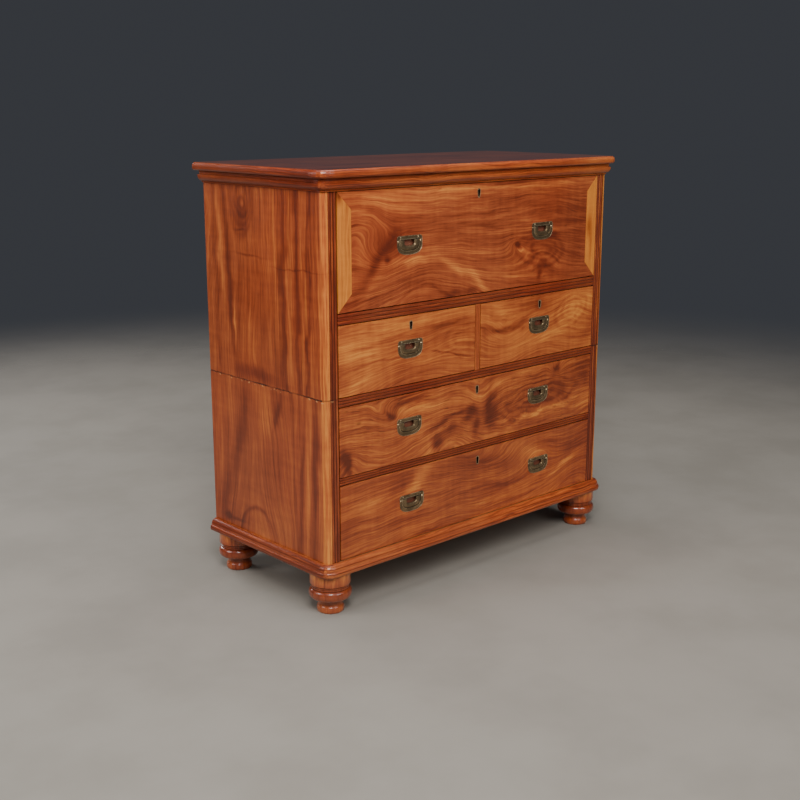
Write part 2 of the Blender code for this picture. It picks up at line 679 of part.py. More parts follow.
def fall_panel(handle_z):
    """The fall's middle board, mitred to its clamps, with seats for handles, leather, lock and hinges."""
    half = HALF_DRAWER
    inner = HALF_DRAWER - CLAMP_WIDTH - FIT
    right = [(half - FIT, FALL_BASE), (inner, FALL_BASE + CLAMP_WIDTH)]
    right += [(inner, FALL_TOP - CLAMP_WIDTH), (half - FIT, FALL_TOP)]
    outline = right + [(-x, z) for x, z in reversed(right)]
    board = prism(outline, "Y", FRONT_Y, FALL_BACK_Y)
    cutters = [pivot_round_cutter()]
    for side in (-1, 1):
        cutters += handle_seat(side * HANDLE_SPACING / 2, handle_z)
    leather_x, leather_z = leather_ranges()
    grown_x = (leather_x[0] - FIT, leather_x[1] + FIT)
    grown_z = (leather_z[0] - FIT, leather_z[1] + FIT)
    behind = FALL_BACK_Y + WELD_OVERLAP
    cutters.append(block(grown_x, (FALL_BACK_Y - LEATHER_THICKNESS - FIT, behind), grown_z))
    lock_half = LOCK_WIDTH / 2 + FIT
    lock_y = (FALL_BACK_Y - LOCK_DEPTH - FIT, behind)
    lock_z = (FALL_TOP - LOCK_HEIGHT - FIT, FALL_TOP + WELD_OVERLAP)
    cutters.append(block(both_ways(lock_half), lock_y, lock_z))
    mortise = HINGE_BARREL_RADIUS + SWING_FIT
    mortise_y = (PIVOT_Y - mortise, behind)
    mortise_z = (FALL_BASE - WELD_OVERLAP, PIVOT_Z + mortise)
    for side in (-1, 1):
        centre = side * (HALF_DRAWER - HINGE_INSET)
        hinge_half = HINGE_WIDTH / 2 + SWING_FIT
        x_range = (centre - hinge_half, centre + hinge_half)
        cutters.append(block(x_range, mortise_y, mortise_z))
    return carved(board, *cutters)


def fall_clamp(side):
    inner = HALF_DRAWER - CLAMP_WIDTH
    outline = [(HALF_DRAWER, FALL_BASE), (HALF_DRAWER, FALL_TOP)]
    outline += [(inner, FALL_TOP - CLAMP_WIDTH), (inner, FALL_BASE + CLAMP_WIDTH)]
    board = prism([(side * x, z) for x, z in outline], "Y", FRONT_Y, FALL_BACK_Y)
    return carved(board, pivot_round_cutter())


def leather_ranges():
    half = HALF_DRAWER - CLAMP_WIDTH - LEATHER_MARGIN
    return both_ways(half), (FALL_BASE + LEATHER_MARGIN, FALL_TOP - LEATHER_MARGIN)


def quadrant_stay(side):
    """A brass quadrant: an arc round the hinge axis with a plate screwed to the fall's inner face."""
    outer_x = HALF_BED - SWING_FIT
    inner_x = outer_x - STAY_THICKNESS
    rail_clearance = PIVOT_RISE + FALL_FOOT_GAP - DRAWER_GAP
    low = -math.degrees(math.asin(rail_clearance / (STAY_RADIUS + STAY_BAR / 2)))
    plate_y = FALL_BACK_Y + FIT
    high = math.degrees(math.acos((plate_y - PIVOT_Y + STAY_PLATE_THICKNESS / 2) / STAY_RADIUS))
    outside = arc((PIVOT_Y, PIVOT_Z), (STAY_RADIUS + STAY_BAR / 2,) * 2, low, high, STAY_STEPS)
    inside = arc((PIVOT_Y, PIVOT_Z), (STAY_RADIUS - STAY_BAR / 2,) * 2, high, low, STAY_STEPS)
    bar = prism(outside + inside, "X", *sorted((side * inner_x, side * outer_x)))
    plate_x = sorted((side * (outer_x - STAY_PLATE_WIDTH), side * outer_x))
    middle_z = PIVOT_Z + STAY_RADIUS
    half_plate = STAY_PLATE_LENGTH / 2
    plate_z = (middle_z - half_plate, middle_z + half_plate)
    plate = block(plate_x, (plate_y, plate_y + STAY_PLATE_THICKNESS), plate_z)
    return united(plate, bar)


def fall_hinge(side):
    centre = side * (HALF_DRAWER - HINGE_INSET)
    x_range = (centre - HINGE_WIDTH / 2, centre + HINGE_WIDTH / 2)
    half_leaf = HINGE_LEAF_THICKNESS / 2
    leaf = block(x_range, (PIVOT_Y, BED_FRONT_Y + HINGE_LEAF), (PIVOT_Z - half_leaf, PIVOT_Z + half_leaf))
    return united(pin(*x_range, PIVOT_Y, PIVOT_Z, HINGE_BARREL_RADIUS, PIN_SIDES), leaf)


def secretaire_bed():
    """The drawer's bottom board, notched for the quadrants and slotted for the hinge leaves."""
    half = HALF_BED - FIT
    notch = HALF_BED - STAY_THICKNESS - 2 * SWING_FIT
    back = DRAWER_BACK_Y - DRAWER_WALL - FIT
    notch_front = PIVOT_Y + STAY_RADIUS - STAY_BAR
    notch_back = PIVOT_Y + STAY_RADIUS + STAY_BAR
    right = [(half, BED_FRONT_Y), (half, notch_front), (notch, notch_front)]
    right += [(notch, notch_back), (half, notch_back), (half, back)]
    outline = right + [(-x, y) for x, y in reversed(right)]
    board = prism(outline, "Z", BED_BASE, BED_TOP)
    slots = []
    half_slot = HINGE_LEAF_THICKNESS / 2 + FIT
    for side in (-1, 1):
        centre = side * (HALF_DRAWER - HINGE_INSET)
        half_width = HINGE_WIDTH / 2 + FIT
        x_range = (centre - half_width, centre + half_width)
        y_range = (BED_FRONT_Y - WELD_OVERLAP, BED_FRONT_Y + HINGE_LEAF + FIT)
        slots.append(block(x_range, y_range, (PIVOT_Z - half_slot, PIVOT_Z + half_slot)))
    return carved(board, *slots)


def pigeonhole_cells():
    """Ranges of the cells: two tall ones at each end, the middle bay, and two little drawers in it."""
    base = BED_TOP + FIT + PIGEON_WALL
    top = SECRETAIRE_SIDE_TOP - PIGEON_TOP_SPACE - PIGEON_WALL
    centre = PIGEON_CENTRE_WIDTH / 2
    end = HALF_BED - FIT - PIGEON_WALL
    tall_width = (end - centre - 2 * PIGEON_WALL) / 2
    tall = []
    for side in (-1, 1):
        for place in range(2):
            near = centre + PIGEON_WALL + place * (tall_width + PIGEON_WALL)
            tall.append((tuple(sorted((side * near, side * (near + tall_width)))), (base, top)))
    drawer_top = base + LITTLE_DRAWER_HEIGHT
    bay = ((-centre, centre), (base, top))
    half_wall = PIGEON_WALL / 2
    drawers = [((-centre, -half_wall), (base, drawer_top)), ((half_wall, centre), (base, drawer_top))]
    return tall, bay, drawers


def pigeonhole_unit():
    tall, bay = pigeonhole_cells()[:2]
    z_range = (BED_TOP + FIT, SECRETAIRE_SIDE_TOP - PIGEON_TOP_SPACE)
    back = PIGEON_FRONT_Y + PIGEON_DEPTH
    frame = block(both_ways(HALF_BED - FIT), (PIGEON_FRONT_Y, back), z_range)
    through = (PIGEON_FRONT_Y - WELD_OVERLAP, back + WELD_OVERLAP)
    cells = [block(x_range, through, cell_z) for x_range, cell_z in tall + [bay]]
    return carved(frame, *cells)


def little_drawer_shelf():
    """The shelf over the little drawers and the upright between them, as one T-shaped piece."""
    bay, drawers = pigeonhole_cells()[1:]
    base, drawer_top = drawers[0][1]
    half_shelf = bay[0][1] - FIT
    half_wall = PIGEON_WALL / 2
    shelf_top = drawer_top + PIGEON_WALL
    right = [(half_wall, base + FIT), (half_wall, drawer_top)]
    right += [(half_shelf, drawer_top), (half_shelf, shelf_top)]
    outline = right + [(-x, z) for x, z in reversed(right)]
    return prism(outline, "Y", PIGEON_FRONT_Y, PIGEON_FRONT_Y + PIGEON_DEPTH)


def little_drawer(cell):
    (x0, x1), (z0, z1) = cell
    x_range = (x0 + DRAWER_GAP, x1 - DRAWER_GAP)
    z_range = (z0 + RUNNER_GAP, z1 - DRAWER_GAP)
    y_range = (PIGEON_FRONT_Y, PIGEON_FRONT_Y + PIGEON_DEPTH - DRAWER_GAP)
    wall = LITTLE_DRAWER_WALL
    inside_x = (x_range[0] + wall, x_range[1] - wall)
    inside_y = (y_range[0] + wall, y_range[1] - wall)
    tray = carved(block(x_range, y_range, z_range), block(inside_x, inside_y, (z_range[0] + wall, z1)))
    knob_x = (x0 + x1) / 2
    knob_z = (z0 + z1) / 2
    neck = LITTLE_KNOB_RADIUS / 2
    neck_end, head_start, head_end = (LITTLE_KNOB_LENGTH * share for share in LITTLE_KNOB_HEAD)
    profile = [(-wall / 2, neck), (neck_end, neck), (head_start, LITTLE_KNOB_RADIUS)]
    profile += [(head_end, LITTLE_KNOB_RADIUS), (LITTLE_KNOB_LENGTH, neck)]
    loops = []
    for reach, radius in profile:
        ring = arc((knob_x, knob_z), (radius, radius), 0, 360 - 360 / PIN_SIDES, PIN_SIDES - 1)
        loops.append([(x, y_range[0] - reach, z) for x, z in ring])
    return united(tray, loop_stack(loops))


def build_secretaire():
    slide = joint_empty("secretaire_slide", (0.0, FRONT_Y, (FALL_BASE + FALL_TOP) / 2))
    add_object("secretaire_bed", secretaire_bed(), wood("inside"), slide)
    for side, name in ((-1, "left"), (1, "right")):
        x_range = sorted((side * HALF_BED, side * HALF_DRAWER))
        board = block(x_range, (BED_FRONT_Y, DRAWER_BACK_Y), (BED_BASE, SECRETAIRE_SIDE_TOP))
        add_object("secretaire_side_" + name, board, wood("inside"), slide)
        add_object("fall_hinge_" + name, fall_hinge(side), brass(True), slide)
    back_y = (SECRETAIRE_BACK_FRONT_Y, DRAWER_BACK_Y)
    back = block(both_ways(HALF_BED - FIT), back_y, (BED_BASE, SECRETAIRE_SIDE_TOP))
    add_object("secretaire_back", back, wood("inside"), slide)
    add_object("pigeonhole_unit", pigeonhole_unit(), wood("inside"), slide)
    add_object("little_drawer_shelf", little_drawer_shelf(), wood("inside"), slide)
    for name, cell in zip(("left", "right"), pigeonhole_cells()[2]):
        centre = ((cell[0][0] + cell[0][1]) / 2, PIGEON_FRONT_Y, (cell[1][0] + cell[1][1]) / 2)
        little_slide = joint_empty("little_drawer_" + name + "_slide", centre, slide)
        add_object("little_drawer_" + name, little_drawer(cell), wood("front"), little_slide)
    build_fall(slide)


def build_fall(slide):
    hinge = joint_empty("fall_hinge_axis", (0.0, PIVOT_Y, PIVOT_Z), slide)
    handle_z = (SECRETAIRE_BASE + CORNICE_BASE) / 2 + HANDLE_RISE
    add_object("fall_panel", fall_panel(handle_z), wood("front"), hinge)
    leather_x, leather_z = leather_ranges()
    leather_y = (FALL_BACK_Y - LEATHER_THICKNESS, FALL_BACK_Y - FIT)
    add_object("writing_leather", block(leather_x, leather_y, leather_z), (*LEATHER_FINISH, 0.0), hinge)
    lock_y = (FALL_BACK_Y - LOCK_DEPTH, FALL_BACK_Y - FIT)
    lock_z = (FALL_TOP - LOCK_HEIGHT, FALL_TOP - FIT)
    add_object("fall_lock", block(both_ways(LOCK_WIDTH / 2), lock_y, lock_z), brass(True), hinge)
    for side, name in ((-1, "left"), (1, "right")):
        add_object("fall_clamp_" + name, fall_clamp(side), wood("light"), hinge)
        add_object("quadrant_stay_" + name, quadrant_stay(side), brass(True), hinge)
        add_handle("fall", name, side * HANDLE_SPACING / 2, handle_z, hinge)


def build_drawers():
    half_divider = DIVIDER_THICKNESS / 2
    small_floor = SPLIT_LEVEL + UPPER_BOTTOM_THICKNESS
    small_z = (SPLIT_LEVEL, UPPER_RAIL_BASE)
    middle = (HALF_OPENING + half_divider) / 2
    add_drawer("small_drawer_left", (-HALF_OPENING, -half_divider), small_z, small_floor, {"": -middle})
    add_drawer("small_drawer_right", (half_divider, HALF_OPENING), small_z, small_floor, {"": middle})
    places = {"left": -HANDLE_SPACING / 2, "right": HANDLE_SPACING / 2}
    wide = both_ways(HALF_OPENING)
    add_drawer("upper_long_drawer", wide, (UPPER_LONG_BASE, DECK_BASE), UPPER_LONG_BASE, places)
    moved_places = {place: x + LOWER_HANDLE_SHIFT for place, x in places.items()}
    add_drawer("lower_long_drawer", wide, (PLINTH_TOP, LOWER_RAIL_BASE), PLINTH_TOP, moved_places)


clear_scene()
build_lower_case()
build_plinth_and_feet()
build_upper_case()
build_secretaire()
build_drawers()
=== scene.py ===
import json
import math

import bmesh
import bpy
from mathutils import Matrix, Vector

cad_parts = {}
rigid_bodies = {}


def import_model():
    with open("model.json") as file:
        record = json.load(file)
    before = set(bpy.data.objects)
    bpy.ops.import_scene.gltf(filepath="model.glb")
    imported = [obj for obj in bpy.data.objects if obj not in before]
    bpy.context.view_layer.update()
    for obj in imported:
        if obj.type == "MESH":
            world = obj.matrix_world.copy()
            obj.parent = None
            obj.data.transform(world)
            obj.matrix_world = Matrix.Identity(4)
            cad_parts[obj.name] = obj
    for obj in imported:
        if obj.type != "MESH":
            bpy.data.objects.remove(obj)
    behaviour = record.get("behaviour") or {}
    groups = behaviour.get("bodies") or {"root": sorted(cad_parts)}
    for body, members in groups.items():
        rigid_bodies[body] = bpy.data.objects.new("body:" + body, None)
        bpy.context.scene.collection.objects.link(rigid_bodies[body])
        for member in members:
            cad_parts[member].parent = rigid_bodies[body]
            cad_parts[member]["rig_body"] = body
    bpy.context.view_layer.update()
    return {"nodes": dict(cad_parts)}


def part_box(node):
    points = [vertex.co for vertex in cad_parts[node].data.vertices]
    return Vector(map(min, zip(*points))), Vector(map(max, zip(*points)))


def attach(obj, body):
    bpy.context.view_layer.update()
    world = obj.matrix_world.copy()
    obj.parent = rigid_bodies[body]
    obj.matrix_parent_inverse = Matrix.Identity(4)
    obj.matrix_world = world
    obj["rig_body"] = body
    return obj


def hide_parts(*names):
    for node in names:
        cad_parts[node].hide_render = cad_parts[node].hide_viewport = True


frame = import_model()
nodes = frame["nodes"]
print("frame loaded:", len(nodes), "nodes")

# places taken from the frame
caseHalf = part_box("lower_side_right")[1].x
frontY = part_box("lower_long_drawer_front")[0].y
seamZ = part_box("lower_side_right")[1].z  # where the two cases meet
anyDepth = 1000.0  # a mark this deep looks the same right through a board


# Shader wiring

class Wire:  # one socket of a finish, with arithmetic
    def __init__(self, tree, socket=None):
        self.tree = tree
        self.socket = socket

    def node(self, kind, settings=None, sockets=None, out=0):
        made = self.tree.nodes.new("ShaderNode" + kind)
        for key, value in (settings or {}).items():
            if key == "stops":
                fillRamp(made.color_ramp, value)
            else:
                setattr(made, key, value)
        for key, value in (sockets or {}).items():
            plug(self.tree, made.inputs[key], value)
        return Wire(self.tree, made.outputs[out])

    def calc(self, operation, *values):
        return self.node("Math", {"operation": operation}, dict(enumerate(values)))

    def __add__(self, other):
        return self.calc("ADD", self, other)

    def __sub__(self, other):
        return self.calc("SUBTRACT", self, other)

    def __rsub__(self, other):
        return self.calc("SUBTRACT", other, self)

    def __mul__(self, other):
        return self.calc("MULTIPLY", self, other)

    def __rpow__(self, other):
        return self.calc("POWER", other, self)

    def __abs__(self):
        return self.calc("ABSOLUTE", self)

    def between(self, low, high):  # 0 below low, 1 above high
        return self.node("MapRange", {"interpolation_type": "SMOOTHSTEP"}, {0: self, 1: low, 2: high})

    def noise(self, scale, detail=2.0, roughness=0.5, out=0):  # this wire is the place
        return self.node("TexNoise", None, {0: self, 2: scale, 3: detail, 4: roughness}, out)

    def blend(self, first, second, kind="MIX"):  # this wire is the share of the second colour
        settings = {"data_type": "RGBA", "blend_type": kind}
        return self.node("Mix", settings, {0: self, 6: first, 7: second}, 2)

    def bump(self, strength, deep):  # this wire is the height
        return self.node("Bump", None, {"Strength": strength, "Distance": deep, "Height": self})

    def openness(self, reach, samples, inside=False):  # 0 deep in a corner, 1 in the open
        settings = {"samples": samples, "inside": inside}
        return self.node("AmbientOcclusion", settings, {"Distance": reach}, "AO")


def plug(tree, socket, value):
    if isinstance(value, Wire):
        tree.links.new(value.socket, socket)
    else:
        socket.default_value = value


def fillRamp(ramp, stops):
    for spot, _ in stops[2:]:
        ramp.elements.new(spot)
    for element, (spot, colour) in zip(ramp.elements, stops):
        element.position = spot
        element.color = (*colour, 1.0)


def newFinish(name):  # a material, the root of its wires and the place on the piece
    material = bpy.data.materials.new(name)
    material.use_nodes = True
    root = Wire(material.node_tree)
    return material, root, root.node("TexCoord", out="Object")


def setShader(material, sockets):
    tree = material.node_tree
    shader = tree.nodes["Principled BSDF"]
    for key, value in sockets.items():
        plug(tree, shader.inputs[key], value)
    return material


# Wood

warmTones = (
    (0.00, (0.125, 0.0225, 0.0080)),
    (0.26, (0.205, 0.0365, 0.0115)),
    (0.50, (0.350, 0.0750, 0.0215)),
    (0.74, (0.520, 0.1420, 0.0310)),
    (1.00, (0.700, 0.2450, 0.0450)),
)
paleTones = (
    (0.00, (0.200, 0.0400, 0.0080)),
    (0.50, (0.480, 0.1280, 0.0215)),
    (1.00, (0.800, 0.2800, 0.0430)),
)
inkTone = (0.030, 0.006, 0.003, 1.0)
redTone = (0.92, 0.62, 0.52, 1.0)
chipTone = (0.62, 0.30, 0.12, 1.0)
hollowTone = (0.105, 0.0185, 0.0085, 1.0)

baseWood = {
    "grain": "XZY",  # axes along, across and through the grain
    "bands": 20.0,  # broad figure across the grain, per metre
    "stretch": 1.6,  # the same along the grain
    "contrast": 0.95,
    "fineContrast": 0.75,  # of the narrow stripes
    "fibre": 0.62,
    "rings": 75.0,  # thin growth lines per metre
    "ringDark": 0.16,
    "flecks": 0.16,  # short dark dashes
    "poreDark": 0.22,
    "slope": 0.0,  # how far the grain climbs along the board
    "drift": 0.09,  # slow bending of the grain, in metres
    "driftScale": 2.3,
    "curl": 0.020,  # quicker bending
    "ripple": 0.16,  # silky marks across the grain
    "lift": 0.0,  # lighter or darker all over
    "blotch": 0.35,
    "red": 0.35,
    "wave": 0.035,  # how much hills and patches lose their round outline
    "hills": (),  # ovals: place, size, any turn, and how far the grain rises there
    "patches": (),  # the same, and how much lighter it is there
    "arcs": (),  # the same along the outline of an oval
    "arcWidth": 0.010,
    "roughness": 0.34,
    "coat": 0.12,
    "coatRoughness": 0.10,
    "specular": 0.38,
    "grime": 0.40,  # painted shade and dirt in the corners and crevices
    "grimeReach": 0.006,
    "grimeSamples": 4,
    "worn": False,  # the case sides: darker reeds, near-black in their valleys, and a dark, chipped seam
    "bump": 0.12,
    "bumpDeep": 0.0006,
}
grainRates = {  # along and across the grain, per metre; then detail and roughness
    "fibre": (9.0, 210.0, 3.0, 0.7),
    "flecks": (30.0, 190.0),
    "pores": (45.0, 850.0),
}
rippleRates = (60.0, 9.0)  # along and across the grain, per metre
sideMarks = {  # of the case sides, in metres
    "reedStrip": 0.016,  # from the outside of the case in to the reeds
    "reedBlur": 0.0004,
    "reedFoot": (0.0045, 0.0035),  # depth behind the fronts at which the reeds end
    "reedHollow": (0.0002, 0.0010),
    "reedDark": 0.62,
    "hollowShare": 0.85,
    "skin": (0.0012, 0.0004),  # depth under the outside of the case to which the seam shows
    "corner": (0.018, 0.016),  # the same behind the fronts
    "seamWander": 0.009,
    "seamWidth": (0.0030, 0.0004),
    "chipFoot": (-0.0080, -0.0045),  # heights from the seam between which it is chipped
    "chipHead": (-0.0005, -0.0025),
    "chipShare": 0.7,
}


def woodFinish(name, look):
    look = {**baseWood, **look}
    material, root, spot = newFinish(name)
    part = {axis: root.node("SeparateXYZ", None, {0: spot}, axis) for axis in "XYZ"}
    along, across, deep = (part[axis] for axis in look["grain"])
    turnAxis = "XYZ".index(look["grain"][2])
    wave = look["wave"]
    swirl = spot.noise(12.0, 3.0, out=1)
    waved = root.node("VectorMath", {"operation": "MULTIPLY_ADD"}, {0: swirl, 1: (wave,) * 3, 2: spot})

    def offMark(place, size, turn=0.0):  # squared distance from the middle of a mark, 1 on its oval
        centre = [0.0] * 3
        spread = [anyDepth] * 3
        turns = [0.0] * 3
        for axis, middle, reach in zip(look["grain"], place, size):
            centre["XYZ".index(axis)] = middle + wave / 2
            spread["XYZ".index(axis)] = reach
        turns[turnAxis] = math.radians(turn)
        sockets = {"Vector": waved, "Location": centre, "Rotation": turns, "Scale": spread}
        near = root.node("Mapping", {"vector_type": "TEXTURE"}, sockets)
        return root.node("VectorMath", {"operation": "DOT_PRODUCT"}, {0: near, 1: near}, "Value")

    def mark(*oval):  # 1 in the middle of a hill or patch, 0 away from it
        return math.exp(-1) ** offMark(*oval)

    bent = across - along * look["slope"] + (spot.noise(look["driftScale"], 2.0) - 0.5) * look["drift"]
    bent = bent + (spot.noise(9.0, 1.0) - 0.5) * look["curl"]
    for *oval, rise in look["hills"]:
        bent = bent - mark(*oval) * rise

    def streaks(alongRate, acrossRate, detail=1.0, roughness=0.5):
        sockets = {0: along * alongRate, 1: bent * acrossRate, 2: deep * acrossRate}
        return root.node("CombineXYZ", None, sockets).noise(1.0, detail, roughness)

    bands = streaks(look["stretch"], look["bands"], 3.0, 0.6)
    stripes = streaks(look["stretch"] * 3.5, look["bands"] * 4.6, 3.0, 0.7)
    fibre = streaks(*grainRates["fibre"])
    flecks = streaks(*grainRates["flecks"]).between(0.60, 0.72) * spot.noise(5.0, 1.0).between(0.42, 0.62)
    pores = streaks(*grainRates["pores"]).between(0.62, 0.74)
    alongRate, acrossRate = rippleRates
    sockets = {0: along * alongRate, 1: across * acrossRate, 2: deep * acrossRate}
    ripple = root.node("CombineXYZ", None, sockets).noise(1.0, 1.0)
    ringPlace = bent * look["rings"] + bands * 3.0
    rings = 1 - ringPlace.calc("PINGPONG", ringPlace, 0.5).between(0.02, 0.26)
    lively = spot.noise(3.4, 2.0).between(0.34, 0.64) * 0.85 + 0.30  # some places are calm
    tone = ((bands - 0.5) * look["contrast"] + (stripes - 0.5) * look["fineContrast"]) * lively
    tone = tone + (fibre - 0.5) * look["fibre"] + (ripple - 0.5) * look["ripple"]
    tone = tone + (spot.noise(4.2, 2.0) - 0.5) * look["blotch"] + (0.5 + look["lift"])
    if look["worn"]:
        depth = part["Y"] - frontY
        sideways = abs(part["X"])
        reedEnd = caseHalf - sideMarks["reedStrip"]
        reeded = 1 - sideways.between(reedEnd, reedEnd + sideMarks["reedBlur"])
        tone = tone - reeded * depth.between(*sideMarks["reedFoot"]) * sideMarks["reedDark"]
    for *oval, lift in look["patches"]:
        tone = tone + mark(*oval) * (stripes * 3.0 - 0.5) * lift
    for *oval, lift in look["arcs"]:
        off = offMark(*oval) - 1.0
        thin = (min(oval[1]) / look["arcWidth"]) ** 2
        tone = tone + math.exp(-thin) ** (off * off) * (stripes * 2.0) * lift
    colour = root.node("ValToRGB", {"stops": look.get("tones", warmTones)}, {0: tone})
    reddened = spot.noise(3.1, 1.0).between(0.40, 0.66) * look["red"]
    colour = reddened.blend(colour, redTone, "MULTIPLY")
    dark = rings * lively * bands.between(0.64, 0.40) * look["ringDark"]
    dark = dark + flecks * look["flecks"] + pores * look["poreDark"]
    # painted shade: darker in corners, crevices and recesses, by how hidden each spot is; it stands for dirt
    # there too
    openness = root.openness(look["grimeReach"], look["grimeSamples"])
    dark = dark + (1 - openness.between(0.20, 0.75)) * look["grime"]
    if look["worn"]:
        hollow = depth.between(*sideMarks["reedHollow"]) * depth.between(*sideMarks["reedFoot"]) * reeded
        colour = (hollow * sideMarks["hollowShare"]).blend(colour, hollowTone)
        outside = sideways.between(*(caseHalf - reach for reach in sideMarks["skin"]))
        outside = outside + depth.between(*sideMarks["corner"])
        gap = part["Z"] - seamZ + (spot.noise(70.0, 4.0, 0.8) - 0.5) * sideMarks["seamWander"]
        bruise = spot.noise(23.0, 3.0, 0.7).between(0.40, 0.62) * 0.60 + 0.30
        dark = dark + abs(gap).between(*sideMarks["seamWidth"]) * bruise * outside
        chips = spot.noise(95.0, 2.0).between(0.58, 0.64) * gap.between(*sideMarks["chipFoot"])
        chips = chips * gap.between(*sideMarks["chipHead"])
        colour = (chips * sideMarks["chipShare"]).blend(colour, chipTone)
    colour = dark.blend(colour, inkTone)
    gloss = spot.noise(16.0, 3.0) * 0.14 + pores * 0.12 + (look["roughness"] - 0.07)
    height = fibre * 0.5 - pores + rings * -0.3
    return setShader(material, {
        "Base Color": colour,
        "Roughness": gloss,
        "Normal": height.bump(look["bump"], look["bumpDeep"]),
        "Coat Weight": look["coat"],
        "Coat Roughness": look["coatRoughness"],
        "Specular IOR Level": look["specular"],
    })


# Marks are given in metres along and across the grain of the board that they lie on.
fallTones = tuple((spot, (red, green, blue * 1.15)) for spot, (red, green, blue) in warmTones)
fallLook = {
    "tones": fallTones, "slope": -0.03, "red": 0.45, "flecks": 0.26, "lift": -0.02, "contrast": 0.95,
    "fineContrast": 0.80, "fibre": 0.95, "curl": 0.008, "drift": 0.06, "ripple": 0.18,
    "hills": (
        ((-0.200, 0.740), (0.190, 0.120), 0.110),  # flame at the foot of the board
        ((0.150, 0.868), (0.035, 0.020), 10.0, 0.040),  # eye left of the right handle
        ((0.240, 0.855), (0.100, 0.050), 5.0, 0.050),  # swell round the right handle
        ((-0.330, 0.895), (0.055, 0.050), -35.0, -0.050),  # swirl by the left handle
        ((-0.410, 0.960), (0.080, 0.060), 0.050),
        ((0.300, 0.985), (0.200, 0.050), 0.030),
    ),
    "patches": (
        ((-0.320, 0.915), (0.040, 0.040), -0.34),
        ((-0.355, 0.875), (0.080, 0.014), -48.0, -0.42),
        ((-0.323, 0.873), (0.008, 0.008), -0.45),
        ((-0.240, 0.868), (0.070, 0.009), -3.0, 0.40),
        ((-0.090, 0.842), (0.070, 0.010), 24.0, 0.34),
        ((0.000, 0.795), (0.045, 0.012), 42.0, 0.30),
        ((0.149, 0.871), (0.012, 0.007), 15.0, -0.60),
        ((0.168, 0.853), (0.026, 0.008), 12.0, 0.34),
        ((0.298, 0.893), (0.020, 0.010), -0.40),
        ((0.240, 0.790), (0.010, 0.018), 20.0, -0.34),
        ((-0.095, 0.772), (0.030, 0.012), -0.45),
        ((-0.030, 0.770), (0.022, 0.010), -0.35),
        ((0.230, 0.975), (0.200, 0.026), 4.0, -0.24),
        ((0.340, 0.935), (0.100, 0.010), 5.0, -0.20),
        ((0.000, 1.035), (0.450, 0.008), 0.22),
        ((-0.350, 1.012), (0.090, 0.012), 6.0, 0.22),
        ((-0.405, 0.930), (0.020, 0.060), 0.18),
        ((-0.400, 0.800), (0.045, 0.020), -35.0, 0.22),
        ((0.420, 0.880), (0.080, 0.120), -0.12),
    ),
    "arcs": (
        ((0.240, 0.855), (0.040, 0.016), 4.0, -0.20),
        ((0.240, 0.855), (0.066, 0.028), 4.0, -0.18),
        ((0.240, 0.853), (0.095, 0.042), 4.0, -0.16),
        ((-0.200, 0.700), (0.200, 0.152), -0.30),
        ((-0.200, 0.700), (0.165, 0.125), -0.20),
        ((-0.200, 0.700), (0.130, 0.100), -0.16),
        ((-0.180, 0.700), (0.240, 0.170), 0.20),
    ),
}
smallBase = {
    "lift": 0.13, "blotch": 0.50, "fibre": 1.00, "ripple": 0.20, "curl": 0.006, "drift": 0.05,
}
smallLeftLook = {
    **smallBase, "slope": 0.03, "bands": 11.0, "contrast": 0.75, "red": 0.10, "ringDark": 0.06,
    "flecks": 0.06, "fineContrast": 0.55,
    "hills": (
        ((-0.240, 0.560), (0.160, 0.070), 0.050),
        ((-0.060, 0.645), (0.080, 0.040), 0.030),
    ),
    "patches": (
        ((-0.420, 0.640), (0.060, 0.040), 0.20),
        ((-0.300, 0.705), (0.150, 0.016), -4.0, 0.18),
        ((-0.100, 0.694), (0.110, 0.009), -2.0, -0.30),
        ((-0.320, 0.676), (0.090, 0.006), -8.0, -0.20),
        ((-0.370, 0.624), (0.120, 0.003), -5.0, -0.34),
        ((-0.100, 0.611), (0.110, 0.003), 14.0, -0.32),
        ((-0.060, 0.650), (0.070, 0.030), 0.04),
        ((-0.250, 0.590), (0.120, 0.012), -0.12),
        ((-0.420, 0.578), (0.060, 0.014), -14.0, 0.20),
    ),
    "arcs": (
        ((-0.040, 0.650), (0.050, 0.022), -0.14),
        ((-0.040, 0.650), (0.085, 0.036), -0.12),
    ),
}
smallRightLook = {
    **smallBase, "slope": -0.02, "bands": 13.0, "contrast": 0.80, "red": 0.22, "ringDark": 0.08,
    "flecks": 0.08, "fineContrast": 0.65,
    "hills": (
        ((0.385, 0.672), (0.085, 0.050), -20.0, 0.030),
        ((0.110, 0.620), (0.120, 0.060), -0.050),
        ((0.230, 0.570), (0.110, 0.035), 0.035),
    ),
    "patches": (
        ((0.110, 0.650), (0.080, 0.008), -0.36),
        ((0.030, 0.664), (0.035, 0.007), 18.0, -0.30),
        ((0.180, 0.668), (0.035, 0.007), -18.0, -0.28),
        ((0.070, 0.705), (0.070, 0.014), 6.0, 0.24),
        ((0.245, 0.703), (0.024, 0.018), -0.30),
        ((0.240, 0.615), (0.080, 0.015), -6.0, 0.14),
        ((0.450, 0.595), (0.040, 0.016), -30.0, -0.16),
        ((0.390, 0.665), (0.085, 0.045), -15.0, 0.46),
    ),
    "arcs": (
        ((0.385, 0.672), (0.022, 0.012), -18.0, -0.16),
        ((0.383, 0.670), (0.045, 0.025), -18.0, -0.16),
        ((0.380, 0.668), (0.072, 0.042), -18.0, -0.14),
    ),
}
